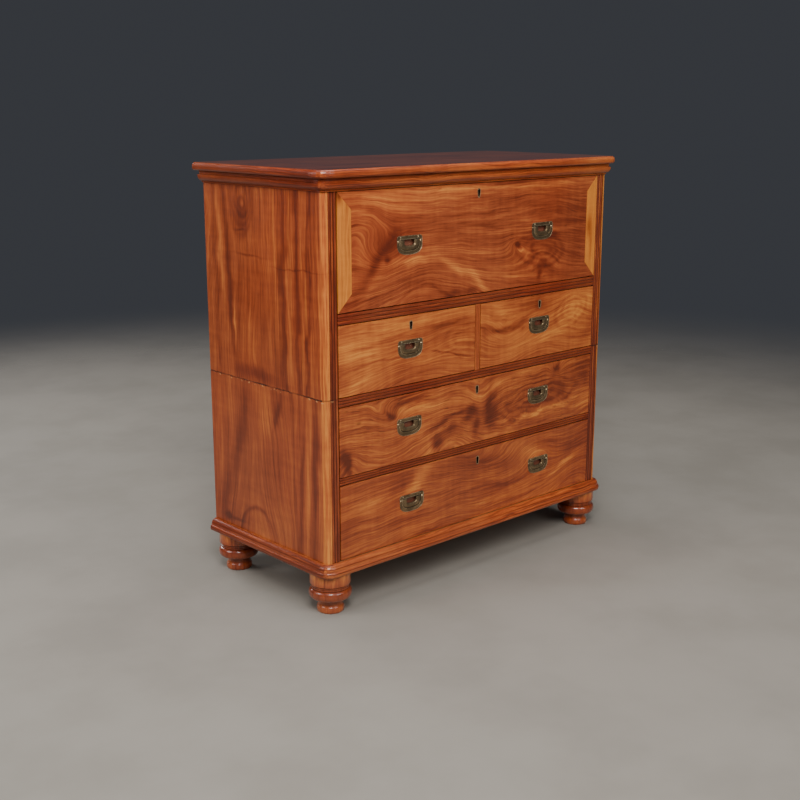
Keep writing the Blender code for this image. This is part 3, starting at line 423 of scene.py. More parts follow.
upperLongLook = {
    "slope": 0.03, "bands": 22.0, "contrast": 0.85, "stretch": 2.2, "drift": 0.05, "curl": 0.014, "red": 0.65,
    "flecks": 0.50, "fineContrast": 1.05, "fibre": 1.25, "ripple": 0.18, "lift": 0.05, "wave": 0.050,
    "hills": (
        ((-0.100, 0.380), (0.110, 0.060), 0.060),
        ((0.230, 0.440), (0.140, 0.040), -3.0, 0.050),
        ((-0.330, 0.480), (0.050, 0.030), 30.0, -0.035),
        ((0.020, 0.470), (0.060, 0.050), -30.0, -0.035),
        ((0.330, 0.505), (0.030, 0.025), -0.030),
        ((-0.440, 0.400), (0.060, 0.050), 0.040),
    ),
    "patches": (
        ((-0.455, 0.395), (0.016, 0.036), -12.0, -0.70),
        ((-0.316, 0.484), (0.016, 0.008), 40.0, -0.60),
        ((-0.150, 0.382), (0.018, 0.024), -20.0, -0.50),
        ((-0.105, 0.405), (0.030, 0.016), -10.0, -0.36),
        ((-0.140, 0.432), (0.045, 0.008), -15.0, -0.42),
        ((-0.080, 0.446), (0.040, 0.008), -6.0, -0.42),
        ((-0.026, 0.440), (0.022, 0.014), -40.0, -0.60),
        ((0.000, 0.405), (0.012, 0.024), -0.44),
        ((0.048, 0.428), (0.022, 0.036), -10.0, -0.62),
        ((0.060, 0.465), (0.030, 0.010), -30.0, -0.42),
        ((-0.110, 0.366), (0.050, 0.010), 0.28),
        ((0.040, 0.492), (0.050, 0.014), -15.0, 0.28),
        ((-0.240, 0.500), (0.090, 0.016), 0.18),
        ((0.200, 0.385), (0.110, 0.008), -8.0, 0.30),
        ((0.330, 0.402), (0.120, 0.009), -4.0, 0.26),
        ((0.330, 0.505), (0.014, 0.012), -0.50),
        ((0.445, 0.480), (0.050, 0.035), -0.30),
        ((0.240, 0.505), (0.060, 0.012), -4.0, -0.22),
        ((0.300, 0.450), (0.150, 0.060), -0.12),
    ),
    "arcs": (
        ((0.240, 0.440), (0.075, 0.012), -3.0, -0.22),
        ((0.240, 0.440), (0.120, 0.026), -3.0, -0.20),
        ((0.240, 0.440), (0.170, 0.042), -3.0, -0.18),
        ((-0.330, 0.300), (0.150, 0.098), -0.26),
        ((-0.330, 0.300), (0.170, 0.113), -0.26),
        ((-0.330, 0.300), (0.190, 0.129), -0.26),
        ((-0.330, 0.300), (0.210, 0.146), -0.24),
    ),
    "arcWidth": 0.007,
}
lowerLongLook = {
    "slope": 0.05, "bands": 16.0, "contrast": 0.70, "red": 0.50, "blotch": 0.45, "flecks": 0.14,
    "fineContrast": 0.62, "fibre": 1.10, "ripple": 0.18, "curl": 0.006, "drift": 0.05,
    "hills": (
        ((0.020, 0.300), (0.160, 0.050), 10.0, -0.045),
        ((0.250, 0.270), (0.070, 0.040), 0.040),
        ((0.420, 0.170), (0.120, 0.060), -25.0, 0.045),
        ((-0.200, 0.150), (0.150, 0.040), 0.025),
    ),
    "patches": (
        ((-0.215, 0.296), (0.050, 0.020), -40.0, 0.40),
        ((-0.360, 0.270), (0.090, 0.016), -6.0, 0.18),
        ((0.235, 0.280), (0.050, 0.024), 20.0, 0.36),
        ((0.040, 0.285), (0.130, 0.026), 10.0, -0.22),
        ((0.060, 0.215), (0.140, 0.012), 3.0, -0.20),
        ((-0.170, 0.152), (0.050, 0.005), -0.34),
        ((0.100, 0.180), (0.160, 0.010), -3.0, 0.16),
        ((0.420, 0.270), (0.080, 0.060), -0.20),
        ((0.370, 0.215), (0.110, 0.006), -22.0, 0.24),
        ((0.400, 0.235), (0.090, 0.005), -24.0, 0.20),
    ),
}
clampLook = {
    "grain": "ZXY", "bands": 30.0, "contrast": 0.60, "lift": 0.28, "red": 0.0, "ringDark": 0.08,
    "blotch": 0.20, "drift": 0.04, "flecks": 0.05, "tones": paleTones, "wave": 0.010,
    "patches": (
        ((0.905, 0.452), (0.030, 0.012), -0.40),
        ((0.850, 0.460), (0.045, 0.006), 4.0, -0.25),
        ((1.040, -0.474), (0.018, 0.012), -0.90),
    ),
}
postLift = ((0.600, -0.247), (2.0, 0.034), 0.66)  # the paler front corner of the sides
sideBase = {
    "grain": "ZYX", "rings": 50.0, "drift": 0.03, "curl": 0.006, "fineContrast": 0.55, "lift": -0.05,
    "worn": True,
}
upperSideLook = {
    **sideBase, "bands": 26.0, "stretch": 0.6, "red": 0.50, "contrast": 0.70, "fibre": 0.85, "ripple": 0.18,
    "hills": (
        ((1.050, 0.200), (0.300, 0.050), -0.040),
        ((0.640, 0.070), (0.090, 0.050), 0.016),
    ),
    "arcs": (
        ((1.010, 0.088), (0.014, 0.012), -0.14),
        ((1.015, 0.088), (0.040, 0.028), -0.20),
        ((1.030, 0.088), (0.080, 0.042), -0.18),
        ((1.060, 0.088), (0.140, 0.055), -0.14),
    ),
    "patches": (
        postLift,
        ((1.008, 0.088), (0.010, 0.008), 0.22),
        ((0.990, 0.090), (0.035, 0.026), -0.20),
        ((0.938, 0.093), (0.004, 0.022), -0.34),
        ((0.880, 0.060), (0.003, 0.060), -0.24),
        ((0.860, -0.130), (0.002, 0.080), -0.26),
        ((0.830, 0.150), (0.280, 0.010), -4.5, -0.36),
        ((0.900, 0.185), (0.200, 0.009), -4.5, 0.24),
        ((0.700, 0.128), (0.060, 0.004), 0.34),
        ((0.800, 0.205), (0.400, 0.012), -0.16),
        ((0.900, -0.048), (0.200, 0.014), 0.26),
        ((0.800, -0.078), (0.400, 0.012), -0.30),
        ((0.800, -0.102), (0.300, 0.012), 0.24),
        ((0.800, -0.132), (0.400, 0.008), -0.28),
        ((0.850, -0.155), (0.300, 0.010), 0.22),
        ((0.800, -0.173), (0.400, 0.006), 2.0, -0.28),
        ((0.580, 0.040), (0.018, 0.090), -0.30),
        ((0.660, 0.070), (0.070, 0.040), 0.16),
    ),
}
lowerSideLook = {
    **sideBase, "bands": 24.0, "stretch": 0.7, "contrast": 0.65, "blotch": 0.55, "wave": 0.018,
    "hills": (
        ((0.120, 0.160), (0.120, 0.080), 0.045),
        ((0.120, -0.030), (0.120, 0.080), -0.045),
        ((0.560, -0.020), (0.140, 0.060), 0.030),
    ),
    "arcs": (
        ((0.110, 0.055), (0.138, 0.106), -0.62),
        ((0.110, 0.055), (0.104, 0.078), -0.22),
        ((0.110, 0.055), (0.170, 0.134), -0.14),
    ),
    "patches": (
        postLift,
        ((0.163, 0.188), (0.010, 0.010), -0.80),
        ((0.163, 0.150), (0.005, 0.040), -0.30),
        ((0.300, 0.165), (0.140, 0.020), 21.0, -0.20),
        ((0.450, 0.110), (0.120, 0.020), 12.0, -0.14),
        ((0.470, 0.010), (0.080, 0.030), 0.18),
        ((0.490, -0.040), (0.050, 0.010), 18.0, -0.34),
        ((0.340, -0.140), (0.250, 0.008), 4.0, -0.28),
        ((0.360, -0.190), (0.250, 0.012), 2.0, -0.26),
        ((0.350, -0.085), (0.250, 0.020), 0.10),
        ((0.350, -0.165), (0.250, 0.008), 3.0, 0.14),
    ),
}
# the top's flat faces are painted darker all over, painted shade standing in for the dark reflection they
# show
topLook = {
    "grain": "XYZ", "bands": 18.0, "lift": -0.14, "red": 0.4, "roughness": 0.28, "coat": 1.0,
    "coatRoughness": 0.08,
}
mouldLook = {
    "bands": 75.0, "contrast": 0.75, "lift": 0.08, "red": 0.7, "coat": 0.3, "rings": 160.0,
    "ringDark": 0.42, "drift": 0.03, "roughness": 0.32, "coatRoughness": 0.07, "wave": 0.0,
    "patches": (  # painted shade: dark lines along the plinth where the grooves of its profile lie in shadow
        ((0.0, 0.1175), (anyDepth, 0.0010), -0.42),
        ((0.0, 0.1295), (anyDepth, 0.0010), -0.42),
    ),
}
# the moulding's returns along the sides: grain runs along them, and they are painted darker than the front
# moulding as painted shade
sideMouldLook = {**mouldLook, "grain": "YZX", "lift": -0.22, "coat": 0.08}
railLook = {
    "bands": 70.0, "contrast": 0.7, "lift": -0.22, "red": 0.9, "grime": 0.55, "rings": 160.0,
    "drift": 0.03,
}
footLook = {
    "grain": "ZXY", "bands": 30.0, "contrast": 0.8, "red": 0.4, "coat": 0.6, "coatRoughness": 0.06,
    "roughness": 0.30, "grime": 0.60, "wave": 0.0,
    "patches": (  # darker at mid height, lighter under the plinth
        ((0.060, 0.0), (0.018, anyDepth), -0.22),
        ((0.102, 0.0), (0.016, anyDepth), 0.24),
    ),
}
insideTones = (
    (0.00, (0.170, 0.064, 0.022)),
    (0.50, (0.380, 0.175, 0.066)),
    (1.00, (0.580, 0.325, 0.140)),
)
nestTones = (
    (0.00, (0.150, 0.036, 0.012)),
    (0.50, (0.390, 0.126, 0.036)),
    (1.00, (0.620, 0.280, 0.085)),
)
backTones = (
    (0.00, (0.140, 0.046, 0.017)),
    (0.50, (0.345, 0.122, 0.040)),
    (1.00, (0.520, 0.238, 0.088)),
)
# finger pockets behind the handles: a darker copy of the front wood, painted shade for the recess
pocketShadeTones = (
    (0.00, (0.080, 0.026, 0.015)),
    (0.50, (0.185, 0.060, 0.034)),
    (1.00, (0.300, 0.110, 0.062)),
)
insideLook = {
    "tones": insideTones, "bands": 30.0, "contrast": 0.7, "red": 0.15, "roughness": 0.55, "coat": 0.0,
    "ringDark": 0.10, "bump": 0.22,
}
nestLook = {
    "tones": nestTones, "bands": 34.0, "contrast": 0.8, "red": 0.20, "roughness": 0.42, "coat": 0.08,
}
backLook = {
    **insideLook, "tones": backTones, "grain": "ZXY", "contrast": 0.9, "stretch": 0.8, "drift": 0.05,
    "grime": 0.80,
}
# the left small drawer's wood in darker tones for the finger pockets: painted shade
pocketShadeLook = {
    **smallLeftLook, "tones": pocketShadeTones, "lift": 0.0, "grime": 0.10, "patches": (), "arcs": (),
}

woodLooks = {
    "fall": fallLook,
    "clamp": clampLook,
    "smallLeft": smallLeftLook,
    "smallRight": smallRightLook,
    "upperLong": upperLongLook,
    "lowerLong": lowerLongLook,
    "upperSide": upperSideLook,
    "lowerSide": lowerSideLook,
    "top": topLook,
    "mould": mouldLook,
    "mouldReturn": sideMouldLook,
    "rail": railLook,
    "divider": {**railLook, "grain": "ZXY", "lift": 0.04, "red": 0.6},
    "foot": footLook,
    "pocket": pocketShadeLook,
    "inside": insideLook,
    "insideDeep": {**insideLook, "grain": "YZX"},
    "back": backLook,
    "nest": nestLook,
    "nestDeep": {**nestLook, "grain": "YZX"},
    "nestTall": {**nestLook, "grain": "ZYX"},
}
finishes = {name: woodFinish(name + "Wood", look) for name, look in woodLooks.items()}
print("wood finishes:", len(finishes))


# Brass and leather

agedBrass = {
    "light": (0.36, 0.245, 0.130, 1.0),
    "dark": (0.070, 0.046, 0.026, 1.0),
    "edge": (0.78, 0.62, 0.38, 1.0),
    "roughness": 0.32,
    "metal": 0.9,
}
brightBrass = {
    "light": (0.66, 0.47, 0.20, 1.0),
    "dark": (0.24, 0.145, 0.06, 1.0),
    "edge": (0.86, 0.68, 0.36, 1.0),
    "roughness": 0.30,
    "metal": 0.9,
}
rimBrass = {
    "light": (0.26, 0.150, 0.070, 1.0),
    "dark": (0.090, 0.048, 0.024, 1.0),
    "edge": (0.32, 0.20, 0.10, 1.0),
    "roughness": 0.62,
    "metal": 0.0,
}
# near-black floor of each keyhole: painted shade for the deep hole
lockDark = {
    "light": (0.030, 0.017, 0.011, 1.0),
    "dark": (0.012, 0.007, 0.005, 1.0),
    "edge": (0.030, 0.017, 0.011, 1.0),
    "roughness": 0.6,
    "metal": 0.9,
}
brassWear = {
    "stain": (55.0, 3.0, 0.6),  # noise per metre, detail and roughness
    "haze": (400.0, 2.0),
    "pits": (500.0, 3.0),
    "pitDeep": 0.0004,
    "grimeReach": 0.004,
    "edgeReach": 0.0016,
    "samples": 6,
}


def brassFinish(name, look):
    material, root, spot = newFinish(name)
    stain = spot.noise(*brassWear["stain"])
    grime = root.openness(brassWear["grimeReach"], brassWear["samples"])
    worn = (stain.between(0.30, 0.70) * 0.6 + 0.4) * grime.between(0.30, 0.95)
    colour = worn.blend(look["dark"], look["light"])
    solid = root.openness(brassWear["edgeReach"], brassWear["samples"], inside=True)
    rubbed = solid.between(0.92, 0.50) * stain.between(0.25, 0.55) * 0.8
    colour = rubbed.blend(colour, look["edge"])
    rough = (1 - worn) * 0.26 + look["roughness"] + (spot.noise(*brassWear["haze"]) - 0.5) * 0.1
    normal = spot.noise(*brassWear["pits"]).bump(0.18, brassWear["pitDeep"])
    sockets = {"Base Color": colour, "Roughness": rough, "Normal": normal, "Metallic": look["metal"]}
    return setShader(material, sockets)


leatherLook = {
    "fresh": (0.016, 0.040, 0.021, 1.0),
    "rubbed": (0.050, 0.075, 0.036, 1.0),
    "gilt": (0.52, 0.34, 0.10, 1.0),
    "lines": ((0.008, 0.0007), (0.018, 0.0007)),  # distance from the edge, and half the width
    "dots": (0.013, 0.0022),
    "dotRate": 130.0,
    "pebbles": 420.0,  # per metre
    "rubs": (14.0, 4.0, 0.6),  # noise per metre, detail and roughness
    "giltRubs": (120.0, 3.0, 0.7),
    "bumpDeep": 0.0004,
}


def leatherFinish(name):
    material, root, spot = newFinish(name)
    sockets = {"Vector": spot, "Scale": leatherLook["pebbles"]}
    grain = root.node("TexVoronoi", {"feature": "DISTANCE_TO_EDGE"}, sockets)
    rubbed = spot.noise(*leatherLook["rubs"]).between(0.40, 0.75)
    colour = rubbed.blend(leatherLook["fresh"], leatherLook["rubbed"])
    low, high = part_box("writing_leather")
    inward = []
    for axis in (0, 2):  # how far in from the nearer edge
        place = root.node("SeparateXYZ", None, {0: spot}, axis) - (low[axis] + high[axis]) / 2
        inward.append((high[axis] - low[axis]) / 2 - abs(place))
    inner = inward[0].calc("MINIMUM", *inward)

    def band(distance, half):
        off = inner - distance
        return abs(off).between(half, half * 0.5)

    beat = (inward[0] + inward[1]) * leatherLook["dotRate"]
    gilt = band(*leatherLook["dots"]) * beat.calc("PINGPONG", beat, 0.5).between(0.20, 0.28)
    for line in leatherLook["lines"]:
        gilt = gilt + band(*line)
    gilt = gilt * spot.noise(*leatherLook["giltRubs"]).between(0.34, 0.50)
    colour = gilt.blend(colour, leatherLook["gilt"])
    normal = (grain - gilt).bump(0.35, leatherLook["bumpDeep"])
    rough = 0.62 - rubbed * 0.2 - gilt * 0.25
    sockets = {"Base Color": colour, "Roughness": rough, "Metallic": gilt * 0.9, "Normal": normal}
    return setShader(material, sockets)


finishes["aged"] = brassFinish("agedBrass", agedBrass)
finishes["bright"] = brassFinish("brightBrass", brightBrass)
finishes["leather"] = leatherFinish("tooledLeather")
finishes["rim"] = brassFinish("rimBrass", rimBrass)
finishes["lockDark"] = brassFinish("lockDark", lockDark)


# Shaping

weldGap = 0.00001
facetLow = math.radians(4)
facetHigh = math.radians(50)
flatAngle = math.radians(0.5)
softEdge = 0.0007  # rounding of a board's edges
shortEdge = 0.03  # edges under this length stay sharp
byShare = (30, 2, "PERCENT")  # rounding of facets
byWidth = (0.001, 2)
normalLimits = {"sideways": 0.7, "flat": 0.95, "forwards": 0.5}
returnReach = 0.03  # of a moulding's return, inwards from the outside of the case


def bodyOf(node):
    return nodes[node]["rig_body"]


def outward(shape):
    bmesh.ops.recalc_face_normals(shape, faces=shape.faces)


def rounded(shape, edges, width, steps, by="OFFSET"):
    made = bmesh.ops.bevel(shape, geom=edges, offset=width, offset_type=by, segments=steps, profile=0.5,
                           affect="EDGES", clamp_overlap=True, material=-1)
    return made["faces"]


def meshOf(name, shape, looks=()):
    mesh = bpy.data.meshes.new(name)
    for finish in looks:
        mesh.materials.append(finishes[finish])
    shape.to_mesh(mesh)
    shape.free()
    return mesh


def linked(name, data):
    made = bpy.data.objects.new(name, data)
    bpy.context.scene.collection.objects.link(made)
    return made


def addPiece(name, shape, looks, body, replaced=(), second=None, smoothAngle=40):
    if second:  # gives the number of each face's finish
        for face in shape.faces:
            face.material_index = int(second(face))
    shape.normal_update()
    mesh = meshOf(name, shape, looks)
    if "custom_normal" in mesh.attributes:  # left from the CAD mesh
        mesh.attributes.remove(mesh.attributes["custom_normal"])
    mesh.shade_smooth()
    mesh.set_sharp_from_angle(angle=math.radians(smoothAngle))
    piece = linked(name, mesh)
    even = piece.modifiers.new("even_shading", "WEIGHTED_NORMAL")
    even.keep_sharp = True
    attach(piece, body)
    if replaced:
        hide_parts(*replaced)
    return piece


def boardShape(node, edgeRound, shortest, facets):
    shape = bmesh.new()
    shape.from_mesh(nodes[node].data)
    bmesh.ops.remove_doubles(shape, verts=shape.verts, dist=weldGap)
    bmesh.ops.dissolve_limit(shape, angle_limit=flatAngle, verts=shape.verts, edges=shape.edges)
    if facets:
        soft = [e for e in shape.edges if facetLow < e.calc_face_angle(0) < facetHigh]
        rounded(shape, soft, *facets)
    sharp = [e for e in shape.edges if e.is_convex and e.calc_face_angle(0) > facetHigh]
    rounded(shape, [e for e in sharp if e.calc_length() > shortest], edgeRound, 2)
    return shape


def dress(node, looks, edgeRound=softEdge, shortest=shortEdge, facets=None, second=None):
    shape = boardShape(node, edgeRound, shortest, facets)
    return addPiece(node + "_dressed", shape, looks, bodyOf(node), (node,), second)


def facesSideways(face):
    return abs(face.normal.x) > normalLimits["sideways"]


def onReturn(face):  # the parts of a moulding along the sides of the case
    beside = abs(face.calc_center_median().x) > caseHalf - returnReach
    return beside and abs(face.normal.y) < normalLimits["forwards"]


boarding = {"count": 6, "width": 0.0032, "deep": 0.0036}


def backBoards(node):  # upright boards with a groove at each joint
    low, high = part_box(node)
    shape = boardShape(node, softEdge, shortEdge, None)
    outer = high.y - weldGap
    for joint in range(1, boarding["count"]):
        x = low.x + (high.x - low.x) * joint / boarding["count"]
        whole = shape.verts[:] + shape.edges[:] + shape.faces[:]
        made = bmesh.ops.bisect_plane(shape, geom=whole, plane_co=(x, 0, 0), plane_no=(1, 0, 0))
        cuts = [g for g in made["geom_cut"] if isinstance(g, bmesh.types.BMEdge)]
        rounded(shape, [e for e in cuts if min(v.co.y for v in e.verts) > outer], boarding["width"], 2)
        middle = [v for v in shape.verts if abs(v.co.x - x) < weldGap and v.co.y > outer]
        bmesh.ops.translate(shape, vec=(0, -boarding["deep"], 0), verts=middle)
    addPiece(node + "_dressed", shape, ["back"], bodyOf(node), (node,))


def topPart(face):  # 0 on the flat faces, 1 and 2 round the edge
    return 0 if abs(face.normal.z) > normalLimits["flat"] else 1 + onReturn(face)


for level in ("upper", "lower"):
    for side in ("left", "right"):
        dress(f"{level}_side_{side}", [level + "Side"], edgeRound=0.0016, facets=byShare)
    backBoards(level + "_back_panel")
    dress(level + "_bottom_board", ["inside"])
    dress(level + "_dust_board", ["rail"], facets=byShare)
dress("lower_deck", ["rail"], facets=byShare)
dress("centre_divider", ["divider"], facets=byShare)
topLooks = ["top", "mould", "mouldReturn"]
dress("top_board", topLooks, edgeRound=0.001, facets=byWidth, second=topPart)
for node in ("cornice_moulding", "plinth_moulding"):
    dress(node, ["mould", "mouldReturn"], facets=byWidth, second=onReturn)
for node in [n for n in nodes if n.startswith("foot_")]:
    dress(node, ["foot"], facets=byShare)
print("case dressed")


# Drawer fronts with their keyholes

keyhole = {
    "outer": 0.0066,  # radius of the head
    "tail": 0.0115,
    "tailShare": 0.35,  # the head below this share of its radius goes down with the tail
    "narrow": 0.80,
    "wall": 0.0026,
    "fit": 0.0002,
    "edge": 0.0003,
    "deep": 0.007,
    "floor": 0.001,
    "proud": 0.0004,
    "clear": 0.01,  # how far the cutter starts before the front
    "sides": 28,
}


def keyholeLoop(shape, x, y, z, radius):  # a round head with a narrower tail, in the plane of the front
    tail = keyhole["tail"]
    turn = Matrix.Rotation(math.pi / 2, 4, "X")
    sides = keyhole["sides"]
    made = bmesh.ops.create_circle(shape, cap_ends=False, segments=sides, radius=radius, matrix=turn)
    loop = made["verts"]
    low = [v for v in loop if v.co.z < -radius * keyhole["tailShare"]]
    bmesh.ops.scale(shape, vec=(keyhole["narrow"], 1, 1), verts=low)
    bmesh.ops.translate(shape, vec=(0, 0, -tail), verts=low)
    bmesh.ops.translate(shape, vec=(x, y, z + tail / 2), verts=loop)
    return list({e for v in loop for e in v.link_edges})


def pushed(shape, parts, reach):  # extrudes faces or edges by a vector
    if isinstance(parts[0], bmesh.types.BMEdge):
        made = bmesh.ops.extrude_edge_only(shape, edges=parts)["geom"]
    else:
        sides = list({e for f in parts for e in f.edges})
        made = bmesh.ops.extrude_face_region(shape, geom=parts + sides)["geom"]
    bmesh.ops.translate(shape, vec=reach, verts=[g for g in made if isinstance(g, bmesh.types.BMVert)])


def cutKeyhole(piece, x, z):
    shape = bmesh.new()
    loop = keyholeLoop(shape, x, frontY - keyhole["clear"], z, keyhole["outer"])
    bmesh.ops.edgeloop_fill(shape, edges=loop)
    pushed(shape, shape.faces[:], (0, keyhole["clear"] + keyhole["deep"], 0))
    outward(shape)
    cutter = linked("keyhole_cut", meshOf("keyhole_cut", shape))
    cut = piece.modifiers.new("keyhole", "BOOLEAN")
    cut.object = cutter
    cut.solver = "EXACT"
    piece.modifiers.move(1, 0)
    even = piece.modifiers["even_shading"]
    even.show_viewport = False
    graph = bpy.context.evaluated_depsgraph_get()
    piece.data = bpy.data.meshes.new_from_object(piece.evaluated_get(graph))
    piece.modifiers.remove(cut)
    even.show_viewport = True
    bpy.data.objects.remove(cutter)


def inKeyhole(face):
    return face.calc_center_bounds().y > frontY + keyhole["proud"]


def keyholeLiner(name, x, z, body):  # a brass rim, with a near-black floor as painted shade in the hole
    shape = bmesh.new()
    y = frontY - keyhole["proud"]
    outer = keyholeLoop(shape, x, y, z, keyhole["outer"] - keyhole["fit"])
    inner = keyholeLoop(shape, x, y, z, keyhole["outer"] - keyhole["wall"])
    bmesh.ops.bridge_loops(shape, edges=outer + inner)
    pushed(shape, outer, (0, keyhole["deep"], 0))
    pushed(shape, inner, (0, keyhole["deep"] - keyhole["floor"], 0))
    bmesh.ops.edgeloop_fill(shape, edges=[e for e in shape.edges if e.is_boundary])
    outward(shape)
    rounded(shape, [e for e in shape.edges if e.calc_face_angle(0) > facetHigh], keyhole["edge"], 2)
    addPiece(name, shape, ["rim", "lockDark"], body, second=inKeyhole)


fronts = {  # finish, and the keyhole's place
    "fall_panel": ("fall", (-0.004, 1.0215)),
    "small_drawer_left_front": ("smallLeft", (-0.243, 0.7063)),
    "small_drawer_right_front": ("smallRight", (0.246, 0.7050)),
    "upper_long_drawer_front": ("upperLong", (0.0, 0.5014)),
    "lower_long_drawer_front": ("lowerLong", (0.006, 0.3030)),
}
frontShortest = 0.15
fallShortest = 0.5  # longer, so that the fall's mitres stay tight
pocketStart = 0.0034  # depth behind the fronts
plates = [n for n in nodes if n.endswith("_plate")]
plateBoxes = [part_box(plate) for plate in plates]


def inPocket(face):  # behind a handle's plate
    x, y, z = face.calc_center_median()
    deep = y > frontY + pocketStart
    return deep and any(low.x < x < high.x and low.z < z < high.z for low, high in plateBoxes)


for node, (look, place) in fronts.items():
    shortest = fallShortest if node == "fall_panel" else frontShortest
    # faces in a handle's finger pocket take the darker copy of the wood, painted shade in the recess
    piece = dress(node, [look, "pocket"], edgeRound=0.0012, shortest=shortest, second=inPocket)
    cutKeyhole(piece, *place)
    owner = node.replace("_front", "").replace("_panel", "")
    keyholeLiner(owner + "_keyhole", *place, bodyOf(node))
for side in ("left", "right"):
    dress("fall_clamp_" + side, ["clamp"], edgeRound=0.0008, shortest=0.25)
print("fronts dressed, keyholes cut:", len(fronts))


# Recessed handles

handle = {
    "band": 0.0095,
    "topBand": 0.009,
    "shoulder": 0.018,
    "corner": 0.007,
    "openCorner": 0.0015,
    "fullness": 2.8,  # of the lower half: 2 is an ellipse, more is squarer
    "seat": 0.0030,  # how deep the plate is let in
    "rim": 0.0018,
    "rimRise": 0.0009,
    "edge": 0.0004,
    "axisDrop": 0.005,  # of the bail's axis, below the top band
    "bailBand": 0.0155,
    "bailFoot": 0.012,
    "bailGap": 0.0007,
    "bailFlat": 0.0022,  # how far the bail's face falls to its edges
    "bossRadius": 0.0034,
    "bossRise": 0.0022,
    "screwRadius": 0.0021,
    "screwRise": 0.0008,
    "screwDrop": 0.004,  # below the plate's top
    "screwInset": 1.35,  # in bands, from the plate's ends
    "bailSteps": (0.0, 0.08, 0.2, 0.35, 0.5, 0.65, 0.8, 0.92, 1.0),
    "steps": 28,
    "cornerSteps": 6,
    "facing": 0.9,  # of the normals of the plate's front
    "near": 0.0001,
}
dome = {"around": 16, "rings": 8}


def arcFrom(shape, start, centre, turn, steps):  # spins a vertex in the plane of the front
    made = bmesh.ops.spin(shape, geom=[start], cent=centre, axis=(0, 1, 0), angle=math.radians(turn),
                          steps=steps, dvec=(0, 0, 0), use_duplicate=False)
    return [g for g in made["geom_last"] if isinstance(g, bmesh.types.BMVert)][0]


def lineTo(shape, start, place):
    end = shape.verts.new(place)
    shape.edges.new((start, end))
    return end


def squareUp(foot, x, z, half, drop):  # makes a bowl of a spun half circle
    power = 2 / handle["fullness"]
    for vert in foot:
        across = (vert.co.x - x) / half
        down = (z - vert.co.z) / half
        vert.co.x = x + math.copysign(half * abs(across) ** power, across)
        vert.co.z = z - drop * abs(down) ** power


def edgesSince(shape, before):
    loop = [v for v in shape.verts if v not in before]
    return [e for e in shape.edges if e.verts[0] in loop and e.verts[1] in loop]


def shieldLoop(shape, centre, half, top, spring, drop, corner):  # flat top, bowl below
    before = set(shape.verts)
    x, y, z = centre
    cornerSteps = handle["cornerSteps"]
    start = shape.verts.new((x + half, y, z + spring))
    last = arcFrom(shape, start, (x, y, z + spring), 180, handle["steps"])
    squareUp([v for v in shape.verts if v not in before], x, z + spring, half, drop)
    last = lineTo(shape, last, (x - half, y, z + top - corner))
    last = arcFrom(shape, last, (x - half + corner, y, z + top - corner), 90, cornerSteps)
    last = lineTo(shape, last, (x + half - corner, y, z + top))
    last = arcFrom(shape, last, (x + half - corner, y, z + top - corner), 90, cornerSteps)
    shape.edges.new((last, start))
    return edgesSince(shape, before)


def bailChain(shape, centre, half, eyeTop, spring, drop):  # two arms and a bowl, open at the top
    before = set(shape.verts)
    x, y, z = centre
    start = shape.verts.new((x + half, y, z + eyeTop))
    knee = lineTo(shape, start, (x + half, y, z + spring))
    arms = {start, knee}
    last = arcFrom(shape, knee, (x, y, z + spring), 180, handle["steps"])
    foot = [v for v in shape.verts if v not in before and v not in arms]
    squareUp(foot, x, z + spring, half, drop)
    lineTo(shape, last, (x - half, y, z + eyeTop))
    return edgesSince(shape, before)


def addDome(shape, place, radius, rise):  # a low round boss or screw head facing forwards
    around, rings = dome["around"], dome["rings"]
    made = bmesh.ops.create_uvsphere(shape, u_segments=around, v_segments=rings, radius=radius)["verts"]
    bmesh.ops.scale(shape, vec=(1, rise / radius, 1), verts=made)
    bmesh.ops.translate(shape, vec=place, verts=made)


def plateMeasures(plate):  # its middle and half its size, and where its bowl springs and how far it drops
    low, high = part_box(plate)
    x, z = (low.x + high.x) / 2, (low.z + high.z) / 2
    half, top = (high.x - low.x) / 2, (high.z - low.z) / 2
    return x, z, half, top, top - handle["shoulder"], 2 * top - handle["shoulder"]


def handlePlate(node):
    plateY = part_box(node)[0].y
    x, z, half, top, spring, drop = plateMeasures(node)
    shape = bmesh.new()
    centre = (x, plateY, z)
    outer = shieldLoop(shape, centre, half, top, spring, drop, handle["corner"])
    band = handle["band"]
    innerTop = top - handle["topBand"]
    inner = shieldLoop(shape, centre, half - band, innerTop, spring, drop - band, handle["openCorner"])
    ring = bmesh.ops.bridge_loops(shape, edges=outer + inner)["faces"]
    pushed(shape, ring, (0, handle["seat"], 0))
    flat = [f for f in shape.faces if abs(f.normal.y) > handle["facing"]]
    front = [f for f in flat if f.calc_center_median().y < plateY + handle["near"]]
    bmesh.ops.inset_region(shape, faces=front, thickness=handle["rim"], depth=0.0, use_even_offset=True)
    outward(shape)
    sunk = {v for f in front for v in f.verts}
    bmesh.ops.translate(shape, vec=(0, handle["rimRise"], 0), verts=list(sunk))
    rounded(shape, [e for e in shape.edges if e.calc_face_angle(0) > facetHigh], handle["edge"], 2)
    y = plateY + handle["rimRise"]
    axisZ = z + top - handle["topBand"] - handle["axisDrop"]
    screwZ = z + top - handle["screwDrop"]
    for way in (-1, 1):
        bossX = x + way * (half - band / 2)
        addDome(shape, (bossX, y, axisZ), handle["bossRadius"], handle["bossRise"])
        screwX = x + way * (half - band * handle["screwInset"])
        addDome(shape, (screwX, y, screwZ), handle["screwRadius"], handle["screwRise"])
    addPiece(node + "_dressed", shape, ["aged"], bodyOf(node), (node,))


